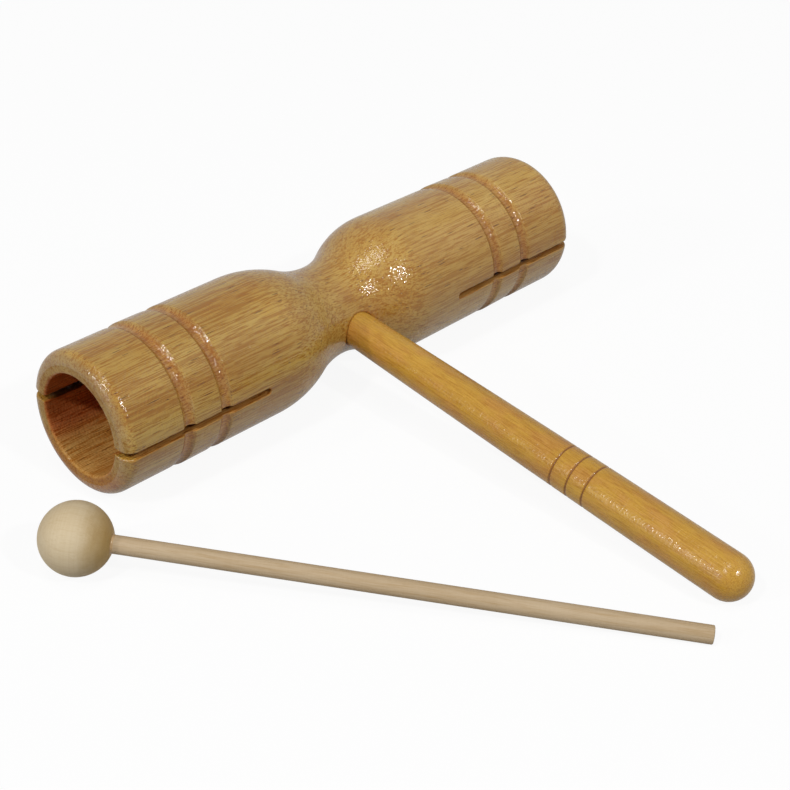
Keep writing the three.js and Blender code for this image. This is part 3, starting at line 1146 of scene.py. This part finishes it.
        # Each wall joins the rows in the bore to those outside, up to their middle at the mouth.
        near = slice(0, len(rows) // 2 + 1)
        for upper in (True, False):
            sign = 1.0 if upper else -1.0
            edge = self.lip_edges(rows, side, upper)[:, None]
            start = self.half_slit + edge
            height = start + (WINDOW - start) * share
            reach = np.sqrt(radius[:, None] ** 2 - height**2)
            self.add(x[:, None], reach, sign * height, back)
            height = self.half_slit + edge * (1 - np.sin(turn))
            depth = edge * (1 - np.cos(turn))
            reach = np.sqrt(radius[:, None] ** 2 - height**2) - depth * normal_r[:, None]
            along = x[:, None] - depth * normal_x[:, None]
            self.add(along, reach, sign * height, back)
            wall = [
                last[near, None] * (1 - across) + last[::-1][near, None] * across
                for last in (along[:, -1], reach[:, -1])
            ]
            self.add(*wall, sign * self.half_slit, back)
        self.slit_end(back, inner_row, -step, False)
        self.slit_end(back, outer_row, step, True)

    def add(self, x, reach, height, back):
        """Lays a patch in a slit's frame."""
        roll = self.slit_roll + (self.sizes.back_turn if back else 0.0)
        self.patches.append(self.place(x, reach, height, roll, back))

    def slit_end(self, back, row, step, outside):
        """The surface round a slit's inner end, its rounded edge and half of its round wall."""
        centre = self.x[row]
        rows = row + step * np.arange(WINDOW_ROWS + 1)
        columns = WINDOW * np.linspace(1, -1, WINDOW_COLUMNS + 1)[1:-1]
        border = [(self.x[r], WINDOW) for r in rows]
        border += [(self.x[rows[-1]], height) for height in columns]
        border += [(self.x[r], -WINDOW) for r in rows[::-1]]
        edge = self.sizes.slit_edge
        _, around, rounding, sunk = rings_round_hole(
            np.array(border), (centre, 0.0), self.half_slit, edge, LIP_COLUMNS
        )
        known = rows[np.argsort(self.x[rows])]

        def reach_at(flat):
            radius = np.interp(flat[..., 0], self.x[known], self.radius[known])
            return np.sqrt(radius**2 - flat[..., 1] ** 2)

        self.add(around[..., 0], reach_at(around), around[..., 1], back)
        inward = 1.0 if outside else -1.0
        reach = reach_at(rounding) - inward * edge * sunk
        self.add(rounding[..., 0], reach, rounding[..., 1], back)
        if not outside:
            return
        across = np.linspace(0, 1, WALL_STEPS + 1)[:, None]
        along, height = rounding[-1].T
        bore = np.sqrt(self.sizes.bore_radius**2 - height**2) + edge
        self.add(along, bore * (1 - across) + reach[-1] * across, height, back)

    def socket(self):
        """The surface round the handle's socket, the socket's rounded edge, wall and floor."""
        handle, sizes = self.handle, self.sizes
        first, last = self.socket_rows
        rows = np.arange(first, last + 1)
        columns = SOCKET_WINDOW * np.linspace(1, -1, WINDOW_COLUMNS + 1)
        top = [(self.x[r], SOCKET_WINDOW) for r in rows[::-1]]
        left = [(self.x[first], height) for height in columns[1:]]
        bottom = [(self.x[r], -SOCKET_WINDOW) for r in rows[1:]]
        right = [(self.x[last], height) for height in columns[-2::-1]]
        border = np.array(top + left + bottom + right)
        centre = (handle.offset, 0.0)
        hole = handle.root_radius + handle.fit
        direction, around, rounding, sunk = rings_round_hole(
            border, centre, hole, handle.socket_edge, SOCKET_RINGS
        )

        def reach_at(flat):
            radius = np.vectorize(lambda x: outline_radius(sizes, x))(flat[..., 0])
            return np.sqrt(radius**2 - flat[..., 1] ** 2)

        def lay(flat, reach):
            self.patches.append(self.place(flat[..., 0], reach, flat[..., 1], self.roll))

        lay(around, reach_at(around))
        reach = reach_at(rounding) - handle.socket_depth * sunk
        lay(rounding, reach)
        across = np.linspace(0, 1, SOCKET_STEPS + 1)[:, None]
        wall = reach[-1] * (1 - across) + handle.socket_floor * across
        lay(np.broadcast_to(rounding[-1], (*wall.shape, 2)), wall)
        shrink = np.linspace(1, 0, SOCKET_FLOOR_STEPS + 1)[:, None, None]
        floor = direction * hole * shrink + centre
        lay(floor, np.full(floor.shape[:2], handle.socket_floor))

    def build(self):
        """All patches of the body."""
        self.crowns()
        for back in (False, True):
            self.strips(back)
            for side in (-1, 1):
                self.slit(side, back)
        self.socket()
        return self.patches


def handle_dip(body, handle):
    """The handle dips, so that its round end touches what the body lies on."""
    return math.asin((body.radius - handle.end_radius) / (handle.reach - handle.end_radius))


def write_body_masks(mesh, shell):
    """Marks the chambers, the saw cuts, the coves where lacquer gathers and painted light
    warms it, the socket's rounding, where painted light stands against its shade, and the wood
    that is cut across the grain. Returns which points are hidden inside, and which on a mouth."""
    sizes, handle = shell.sizes, shell.handle
    points = vertex_array(mesh) - np.array(BODY_MIDDLE)
    low = points[:, 0] < 0
    from_mouth = sizes.length / 2 - abs(points[:, 0])
    radius = np.hypot(points[:, 1], points[:, 2])
    turn = shell.slit_roll + sizes.back_turn * (points[:, 1] > 0)
    height = points[:, 2] * np.cos(turn) - points[:, 1] * np.sin(turn)

    edge = sizes.bore_radius + sizes.bore_ease
    floor = np.where(low, sizes.low_bore, sizes.high_bore)
    inside = (1 - smooth_step(sizes.bore_radius, edge, radius)) * (from_mouth < floor + WELD)
    write_attribute(mesh, "inside", inside)

    half = sizes.slit_width / 2
    sawn = 1 - smooth_step(half, half + sizes.slit_edge, abs(height))
    parted = from_mouth < np.where(low, sizes.low_slit, sizes.high_slit) + sizes.slit_edge
    full = smooth_step(0, SAWN_FULL, from_mouth)
    full = SAWN_START_SHARE + (1 - SAWN_START_SHARE) * full
    write_attribute(mesh, "sawn", sawn * parted * full)

    coves = (at_end(sizes, side, "outer_cove", "inner_cove") for side in (-1, 1))
    coves = np.where(low[:, None], *coves)
    offset = abs(from_mouth[:, None] - coves).min(axis=1) / (sizes.cove_width / 2)
    outside = radius > edge + (sizes.radius - edge) / 2
    cove = (1 - smooth_step(*COVE_FADE_SHARES, offset)) * outside
    # Painted light: the socket's rounding at the front takes the coves' colour, redder and brighter
    # than the cut wood's grey, against the shade in its groove.
    above = points[:, 2] * math.cos(shell.roll) - points[:, 1] * math.sin(shell.roll)
    from_handle = np.hypot(points[:, 0] - handle.offset, above) - handle.root_radius - handle.fit
    rim = 1 - smooth_step(*SOCKET_FADE_SHARES, from_handle / handle.socket_edge)
    write_attribute(mesh, "cove", np.maximum(cove, rim * (points[:, 1] < 0)))

    normals = np.empty(len(points) * 3, np.float32)
    mesh.vertex_normals.foreach_get("vector", normals)
    cross_cut = normals[::3] ** 2 * (1 - sawn * parted)
    write_attribute(mesh, "cross_cut", cross_cut)
    face = (cross_cut > FACE_SHARE) & (from_mouth < WELD)
    ease = (radius < edge) & (from_mouth < sizes.bore_ease)
    return np.maximum(inside, sawn * parted) > 0.5, face | ease


class BuildBody(Operator):
    """Builds the turned body with its chambers, slits, coves and socket"""

    bl_idname = "tone_block.build_body"
    bl_label = "Tone body"

    def execute(self, context):
        scene = context.scene
        sizes, handle = scene.tone_block_body, scene.tone_block_handle
        shell = BodyShell(sizes, handle)
        mesh = shell_mesh("turned_body", shell.build())
        hidden, mouth = write_body_masks(mesh, shell)
        finishes = scene.tone_block_finishes
        lacquered = body_material("lacquered body wood", finishes, LACQUERED)
        show_piece(mesh, lacquered, "block", "tone_body")
        mesh.materials.append(body_material("bare body wood", finishes, BARE))
        bare = hidden | mouth
        for face in mesh.polygons:
            face.material_index = int(all(bare[vertex] for vertex in face.vertices))
        return {"FINISHED"}


# Turned pieces

SIDES = 64
SHARP_ANGLE = math.radians(50)

# The glue bead: its height for its width, how deep its foot and its hidden root lie below the
# hole's corner, and how far it is tucked into the stick.
GLUE_CLIMB_SHARE = 1.15
GLUE_FOOT = 0.00022
GLUE_ROOT = 0.0012
GLUE_TUCK = 0.0001


def turned_tree(name, inputs, stretches):
    """Geometry nodes that turn an outline about Z. Each stretch gives its rows, and its radius,
    its height and any mark of a groove, made from its share and the named inputs."""
    sockets = {"Geometry": (GEOMETRY, None), "Sides": (INTEGER, SIDES), "Material": (MATERIAL, None)}
    sockets.update({label: (FLOAT, default) for label, default in inputs.items()})
    tree, given, out = named_group(name, "GeometryNodeTree", sockets, {"Geometry": GEOMETRY})
    position = Wire(tree, add_node(tree, "GeometryNodeInputPosition").outputs[0])
    around, share, _ = separate(tree, position)
    angle, share = (around + 0.5) * (2 * math.pi), share + 0.5
    join = add_node(tree, "GeometryNodeJoinGeometry")
    for rows, outline in stretches:
        grid = add_node(tree, "GeometryNodeMeshGrid", {"Size X": 1.0, "Size Y": 1.0})
        feed(tree, grid.inputs["Vertices X"], given["Sides"] + 1.0)
        grid.inputs["Vertices Y"].default_value = rows + 1
        radius, height, groove = (*outline(tree, share, given), 0.0)[:3]
        x, y = (radius * maths(tree, wave, angle) for wave in ("COSINE", "SINE"))
        mark = add_node(tree, "GeometryNodeStoreNamedAttribute", {"Name": "groove", "Value": groove})
        mark.data_type, mark.domain = "FLOAT", "POINT"
        move = add_node(tree, "GeometryNodeSetPosition", {"Position": combine(tree, x, y, height)})
        tree.links.new(grid.outputs["Mesh"], mark.inputs["Geometry"])
        tree.links.new(mark.outputs[0], move.inputs["Geometry"])
        tree.links.new(move.outputs[0], join.inputs[0])
    last = join
    for node in (
        add_node(tree, "GeometryNodeMergeByDistance", {"Distance": WELD}),
        add_node(tree, "GeometryNodeSetShadeSmooth"),
        add_node(tree, "GeometryNodeRealizeInstances"),
        add_node(tree, "GeometryNodeSetMaterial", {"Material": given["Material"]}),
        out,
    ):
        tree.links.new(last.outputs[0], node.inputs["Geometry"])
        last = node
    return tree


def turn_piece(name, stretches, values, material, matrix, body, node=None, slot=None):
    """Turns an outline once into a plain mesh, in its place, and shows it as a piece."""
    tree = turned_tree(name.replace("_", " ").capitalize(), values, stretches)
    maker = bpy.data.objects.new(name + "_maker", bpy.data.meshes.new(name + "_start"))
    bpy.context.scene.collection.objects.link(maker)
    modifier = maker.modifiers.new("Turned piece", "NODES")
    modifier.node_group = tree
    settings = {**values, "Material": material}
    for item in tree.interface.items_tree:
        if item.in_out == "INPUT" and item.name in settings:
            modifier[item.identifier] = settings[item.name]
    depsgraph = bpy.context.evaluated_depsgraph_get()
    depsgraph.update()
    mesh = bpy.data.meshes.new_from_object(maker.evaluated_get(depsgraph))
    mesh.name = name
    maker.modifiers.remove(modifier)
    bpy.data.objects.remove(maker)
    mesh.transform(matrix)
    finish_shell(mesh)
    mesh.set_sharp_from_angle(angle=SHARP_ANGLE)
    show_piece(mesh, material, body, node)


def lerp(start, end, share):
    """A value between two others. Works on wires and numbers."""
    return start + (end - start) * share


def quarter_arc(tree, share):
    """How far a quarter circle has turned in, and how far it is short of its top, for a radius
    of 1."""
    angle = share * QUARTER
    return 1.0 - maths(tree, "COSINE", angle), 1.0 - maths(tree, "SINE", angle)


def handle_stretches():
    """The handle's outline, from the floor of its socket to the tip of its round end."""

    def taper(tree, height, given):
        dome = given["Reach"] - given["End Radius"]
        share = maths(tree, "DIVIDE", height - given["Waist"], dome - given["Waist"], clamp=True)
        # This share is 0 at both ends and 1 in the middle.
        fullness = 4.0 * share * (1.0 - share)
        radius = lerp(given["Root Radius"], given["End Radius"], share)
        return radius + given["Swell"] * fullness

    def ring_limits(given):
        start = given["First Ring"] - given["Ring Spacing"] * 0.5
        return start, start + given["Ring Spacing"] * given["Ring Count"]

    def root_face(tree, share, given):
        return given["Root Radius"] * share, given["Start"]

    def lower(tree, share, given):
        height = lerp(given["Start"], ring_limits(given)[0], share)
        return taper(tree, height, given), height

    def rings(tree, share, given):
        start, end = ring_limits(given)
        height = lerp(start, end, share)
        turn = maths(tree, "FRACT", (height - start) / given["Ring Spacing"])
        away = maths(tree, "ABSOLUTE", turn - 0.5) * given["Ring Spacing"]
        near = maths(tree, "DIVIDE", away, given["Ring Width"] * 0.5, clamp=True)
        hollow = maths(tree, "COSINE", near * math.pi) * 0.5 + 0.5
        return taper(tree, height, given) - hollow * given["Ring Depth"], height, hollow

    def upper(tree, share, given):
        height = lerp(ring_limits(given)[1], given["Reach"] - given["End Radius"], share)
        return taper(tree, height, given), height

    def dome(tree, share, given):
        angle, size = share * QUARTER, given["End Radius"]
        height = given["Reach"] - size + size * maths(tree, "SINE", angle)
        return size * maths(tree, "COSINE", angle), height

    return [(6, root_face), (64, lower), (120, rings), (34, upper), (20, dome)]


def handle_frame(body, handle):
    """The place of the handle: its Z runs from the body's axis to the tip."""
    dip = handle_dip(body, handle)
    direction = Vector((0.0, -math.cos(dip), -math.sin(dip)))
    side = Vector((1.0, 0.0, 0.0))
    turn = Matrix((side, direction.cross(side), direction)).transposed()
    return Matrix.Translation(BODY_MIDDLE + side * handle.offset) @ turn.to_4x4()


class BuildHandle(Operator):
    """Builds the turned handle with its ring grooves and round end"""

    bl_idname = "tone_block.build_handle"
    bl_label = "Handle"

    def execute(self, context):
        scene = context.scene
        body, handle = scene.tone_block_body, scene.tone_block_handle
        values = {
            "Start": handle.socket_floor + handle.fit,
            "Waist": body.waist_radius,
            "Reach": handle.reach,
            "Root Radius": handle.root_radius,
            "End Radius": handle.end_radius,
            "Swell": handle.swell,
            "First Ring": handle.first_ring,
            "Ring Spacing": handle.ring_spacing,
            "Ring Width": handle.ring_width,
            "Ring Depth": handle.ring_depth,
            "Ring Count": float(handle.ring_count),
        }
        matrix = handle_frame(body, handle)
        wood = handle_material(scene.tone_block_finishes, matrix)
        place = ("block", "handle", "handle_wood")
        turn_piece("turned_handle", handle_stretches(), values, wood, matrix, *place)
        return {"FINISHED"}


def beater_frame(body, handle, beater):
    """The place of the beater: its Z runs from the ball's middle to the stick's end."""
    ball_x = -(body.length / 2 + beater.mouth_gap + beater.ball_radius)
    ball_y = -(body.radius + beater.side_gap)
    end_x = handle.offset - handle.end_radius - beater.handle_gap - beater.stick_radius
    drop = beater.ball_radius - beater.stick_radius
    run_x = end_x - ball_x
    run_y = math.sqrt(beater.stick_reach**2 - drop**2 - run_x**2)
    direction = Vector((run_x, -run_y, -drop)).normalized()
    side = direction.cross(Vector((0.0, 0.0, 1.0))).normalized()
    turn = Matrix((side, direction.cross(side), direction)).transposed()
    ball = Vector((BODY_MIDDLE.x + ball_x, BODY_MIDDLE.y + ball_y, beater.ball_radius))
    return Matrix.Translation(ball) @ turn.to_4x4()


def beater_values(scene):
    """The beater's place, and the named inputs that its trees share."""
    handle, beater = scene.tone_block_handle, scene.tone_block_beater
    mouth = math.sqrt(beater.ball_radius**2 - beater.stick_radius**2)
    return beater_frame(scene.tone_block_body, handle, beater), {
        "Ball Radius": beater.ball_radius,
        "Hole Radius": beater.stick_radius + handle.fit,
        "Hole Floor": mouth - beater.hole_depth,
        "Hole Ease": beater.hole_ease,
        "Fit": handle.fit,
        "Stick Radius": beater.stick_radius,
        "Stick Reach": beater.stick_reach,
        "Stick Ease": beater.stick_ease,
        "Glue Rise": beater.glue_rise,
    }


def ball_stretches():
    """The ball's outline, from the middle of its hole's floor round to its far pole."""

    def opening(tree, given):
        edge = given["Hole Radius"] + given["Hole Ease"]
        return maths(tree, "ARCSINE", edge / given["Ball Radius"])

    def mouth(tree, given):
        return given["Ball Radius"] * maths(tree, "COSINE", opening(tree, given))

    def floor(tree, share, given):
        return given["Hole Radius"] * share, given["Hole Floor"]

    def wall(tree, share, given):
        end = mouth(tree, given) - given["Hole Ease"]
        return given["Hole Radius"], lerp(given["Hole Floor"], end, share)

    def ease(tree, share, given):
        inwards, short = quarter_arc(tree, share)
        radius = given["Hole Radius"] + given["Hole Ease"] * inwards
        return radius, mouth(tree, given) - given["Hole Ease"] * short

    def ball(tree, share, given):
        angle, size = lerp(opening(tree, given), math.pi, share), given["Ball Radius"]
        return size * maths(tree, "SINE", angle), size * maths(tree, "COSINE", angle)

    return [(3, floor), (8, wall), (4, ease), (64, ball)]


def stick_stretches():
    """The stick's outline, from its end in the ball to its sawn end."""

    def start(given):
        return given["Hole Floor"] + given["Fit"]

    def root_face(tree, share, given):
        return given["Stick Radius"] * share, start(given)

    def side(tree, share, given):
        end = given["Stick Reach"] - given["Stick Ease"]
        return given["Stick Radius"], lerp(start(given), end, share)

    def ease(tree, share, given):
        inwards, short = quarter_arc(tree, share)
        radius = given["Stick Radius"] - given["Stick Ease"] * inwards
        return radius, given["Stick Reach"] - given["Stick Ease"] * short

    def sawn_end(tree, share, given):
        return (given["Stick Radius"] - given["Stick Ease"]) * (1.0 - share), given["Stick Reach"]

    return [(3, root_face), (96, side), (4, ease), (4, sawn_end)]


def glue_stretches():
    """The glue bead's outline: a hollow fillet from the ball's surface to the stick."""

    def heights(tree, given):
        """Where the bead's hidden root and its foot lie, and how far it climbs."""
        ball, stick = given["Ball Radius"], given["Stick Radius"]
        corner = maths(tree, "SQRT", ball * ball - stick * stick)
        return corner - GLUE_ROOT, corner - GLUE_FOOT, given["Glue Rise"] * GLUE_CLIMB_SHARE

    def skin(tree, share, given):
        _, foot, climb = heights(tree, given)
        inwards, short = quarter_arc(tree, share)
        return given["Stick Radius"] + given["Glue Rise"] * short, foot + climb * inwards

    def inner(tree, share, given):
        root, foot, climb = heights(tree, given)
        return given["Stick Radius"] - share * GLUE_TUCK, lerp(foot + climb, root, share)

    def underside(tree, share, given):
        root, foot, _ = heights(tree, given)
        stick = given["Stick Radius"]
        radius = lerp(stick - GLUE_TUCK, stick + given["Glue Rise"], share)
        return radius, lerp(root, foot, share)

    return [(8, skin), (3, inner), (3, underside)]


class BuildBeaterHead(Operator):
    """Builds the beater's turned ball"""

    bl_idname = "tone_block.build_beater_head"
    bl_label = "Beater head"

    def execute(self, context):
        finishes = context.scene.tone_block_finishes
        matrix, values = beater_values(context.scene)
        wood = raw_wood_material(
            "sanded ball wood",
            finishes,
            finishes.ball,
            matrix,
            streaks=0.14,
            rings=0.09,
            stain_start=1.5,
        )
        place = ("beater", "beater_head", "ball_wood")
        turn_piece("turned_ball", ball_stretches(), values, wood, matrix, *place)
        return {"FINISHED"}


class BuildBeaterStick(Operator):
    """Builds the beater's stick and the glue bead that holds it in the ball"""

    bl_idname = "tone_block.build_beater_stick"
    bl_label = "Beater stick"

    def execute(self, context):
        finishes = context.scene.tone_block_finishes
        matrix, values = beater_values(context.scene)
        wood = raw_wood_material(
            "sanded stick wood", finishes, finishes.stick, matrix, streaks=0.4, rings=0.04
        )
        place = ("beater", "beater_stick", "stick_wood")
        turn_piece("turned_stick", stick_stretches(), values, wood, matrix, *place)
        glue = glue_material(finishes)
        turn_piece("glue_bead", glue_stretches(), values, glue, matrix, "beater")
        return {"FINISHED"}


# Stage

FLOOR_SIZE = 8.0
FLOOR_CELLS = 8
FLOOR_DROP = 0.0002
FLOOR_TONES = ((0.34, 0.34, 0.34), (0.36, 0.36, 0.36))
FLOOR_ROUGHNESS = 0.9
FLOOR_CLOUD_SCALE = 0.003
WHITE = (1.0, 1.0, 1.0)
SENSOR_WIDTH = 36.0

# Shares of white that the camera and the reflections see: in the floor's colour, in its own
# glow, and in the surround.
FLOOR_COLOUR_SHARES = (1.0, 0.6)
FLOOR_GLOW_SHARES = (0.92, 0.35)
SURROUND_SHARES = (1.0, 0.6)

# Azimuth and elevation of each lamp in degrees, and its size.
LAMPS = {
    "side": (-84, 50, 0.17),
    "glint": (-104, 27, 0.16),
    "front": (2, 42, 0.14),
    "low": (-100, 16, 1.2),
    "fill": (60, 40, 1.8),
    "overhead": (-75, 80, 0.7),
}
LAMP_DISTANCE = 2.6


def bright_share(tree, seen, reflected):
    """The shares of the white background, for a ray from the camera and for one that comes by
    a reflection or through glass. It is 0 for the light on the object."""
    path = add_node(tree, "ShaderNodeLightPath")
    names = ("Is Camera Ray", "Is Glossy Ray", "Is Transmission Ray")
    camera, glossy, through = (Wire(tree, path.outputs[name]) for name in names)
    mirrored = maths(tree, "MAXIMUM", glossy, through) * reflected
    return maths(tree, "MAXIMUM", camera * seen, mirrored)


def floor_material():
    """A pale floor that looks white where no shadow falls on it."""
    material, tree, shader = new_material("pale floor")
    shader.inputs["Roughness"].default_value = FLOOR_ROUGHNESS
    shader.inputs["Specular IOR Level"].default_value = 0.0
    cloud = noise(tree, object_place(tree), FLOOR_CLOUD_SCALE, detail=2.0)
    colour = blend_colour(tree, cloud, *FLOOR_TONES)
    colour = blend_colour(tree, bright_share(tree, *FLOOR_COLOUR_SHARES), colour, WHITE)
    feed(tree, shader.inputs["Base Color"], colour)
    glow = add_node(tree, "ShaderNodeEmission", {"Color": (*WHITE, 1.0), "Strength": 1.0})
    mix = add_node(tree, "ShaderNodeMixShader", {0: bright_share(tree, *FLOOR_GLOW_SHARES)})
    tree.links.new(shader.outputs[0], mix.inputs[1])
    tree.links.new(glow.outputs[0], mix.inputs[2])
    output = next(n for n in tree.nodes if n.type == "OUTPUT_MATERIAL")
    tree.links.new(mix.outputs[0], output.inputs["Surface"])
    return material


def add_floor():
    """A wide flat floor under the object."""
    mesh = bpy.data.meshes.new("floor")
    half = FLOOR_SIZE / 2
    steps = np.linspace(-half, half, FLOOR_CELLS + 1)
    points = [(x, y, -FLOOR_DROP) for y in steps for x in steps]
    row = FLOOR_CELLS + 1
    corners = [r * row + c for r in range(FLOOR_CELLS) for c in range(FLOOR_CELLS)]
    faces = [(corner, corner + 1, corner + row + 1, corner + row) for corner in corners]
    mesh.from_pydata(points, [], faces)
    mesh.materials.append(floor_material())
    floor = bpy.data.objects.new("floor", mesh)
    bpy.context.scene.collection.objects.link(floor)


def set_world(strength):
    """An even surround that is white to the camera and in reflections."""
    world = bpy.data.worlds.new("white surround")
    bpy.context.scene.world = world
    world.use_nodes = True
    tree = world.node_tree
    background = next(n for n in tree.nodes if n.type == "BACKGROUND")
    background.inputs["Color"].default_value = (*WHITE, 1.0)
    share = bright_share(tree, *SURROUND_SHARES)
    feed(tree, background.inputs["Strength"], lerp(strength, 1.0, share))


def direction_of(azimuth, elevation):
    """The direction from the object to a camera or lamp. Azimuth 0 is on the -Y side."""
    flat = math.cos(elevation)
    return Vector((math.sin(azimuth) * flat, -math.cos(azimuth) * flat, math.sin(elevation)))


def add_lamp(name, azimuth, elevation, size, power, aim):
    """A soft square lamp that points at the aim."""
    data = bpy.data.lights.new(name, "AREA")
    data.shape = "SQUARE"
    data.size = size
    data.energy = power
    lamp = bpy.data.objects.new(name, data)
    bpy.context.scene.collection.objects.link(lamp)
    direction = direction_of(math.radians(azimuth), math.radians(elevation))
    lamp.location = aim + direction * LAMP_DISTANCE
    lamp.rotation_mode = "QUATERNION"
    lamp.rotation_quaternion = (-direction).to_track_quat("-Z", "Y")


class BuildStage(Operator):
    """Builds the floor, the surround, the lamps and the camera"""

    bl_idname = "tone_block.build_stage"
    bl_label = "Stage"

    def execute(self, context):
        scene = context.scene
        stage = scene.tone_block_stage
        scene.view_settings.view_transform = "Standard"
        add_floor()
        set_world(stage.surround)
        aim = Vector(stage.aim)
        for name, (azimuth, elevation, size) in LAMPS.items():
            power = getattr(stage, name + "_power")
            add_lamp(name + " lamp", azimuth, elevation, size, power, aim)
        data = bpy.data.cameras.new("camera")
        data.lens = stage.lens
        data.sensor_width = SENSOR_WIDTH
        camera = bpy.data.objects.new("camera", data)
        scene.collection.objects.link(camera)
        back = direction_of(stage.azimuth, stage.elevation)
        camera.location = aim + back * stage.distance
        camera.rotation_mode = "QUATERNION"
        level = (-back).to_track_quat("-Z", "Y")
        camera.rotation_quaternion = level @ Quaternion((0.0, 0.0, 1.0), stage.roll)
        scene.camera = camera
        return {"FINISHED"}


OPERATORS = (BuildBody, BuildHandle, BuildBeaterHead, BuildBeaterStick, BuildStage)


class TonePanel(Panel):
    """Buttons that build the tone block, piece by piece"""

    bl_idname = "VIEW3D_PT_tone_block"
    bl_label = "Tone block"
    bl_space_type = "VIEW_3D"
    bl_region_type = "UI"
    bl_category = "Tone block"

    def draw(self, context):
        for operator in OPERATORS:
            self.layout.operator(operator.bl_idname)


GROUPS = {
    "tone_block_body": BodySizes,
    "tone_block_handle": HandleSizes,
    "tone_block_beater": BeaterSizes,
    "tone_block_finishes": Finishes,
    "tone_block_stage": StageSettings,
}


def register():
    """Registers the sizes, the operators and the panel."""
    for name, group in GROUPS.items():
        bpy.utils.register_class(group)
        setattr(bpy.types.Scene, name, PointerProperty(type=group))
    for item in (*OPERATORS, TonePanel):
        bpy.utils.register_class(item)


def unregister():
    """Takes back what register did."""
    for item in (TonePanel, *reversed(OPERATORS)):
        bpy.utils.unregister_class(item)
    for name, group in reversed(GROUPS.items()):
        delattr(bpy.types.Scene, name)
        bpy.utils.unregister_class(group)


def main():
    """Builds every piece and the stage."""
    register()
    for operator in OPERATORS:
        module, name = operator.bl_idname.split(".")
        getattr(getattr(bpy.ops, module), name)()


if __name__ == "__main__":
    main()
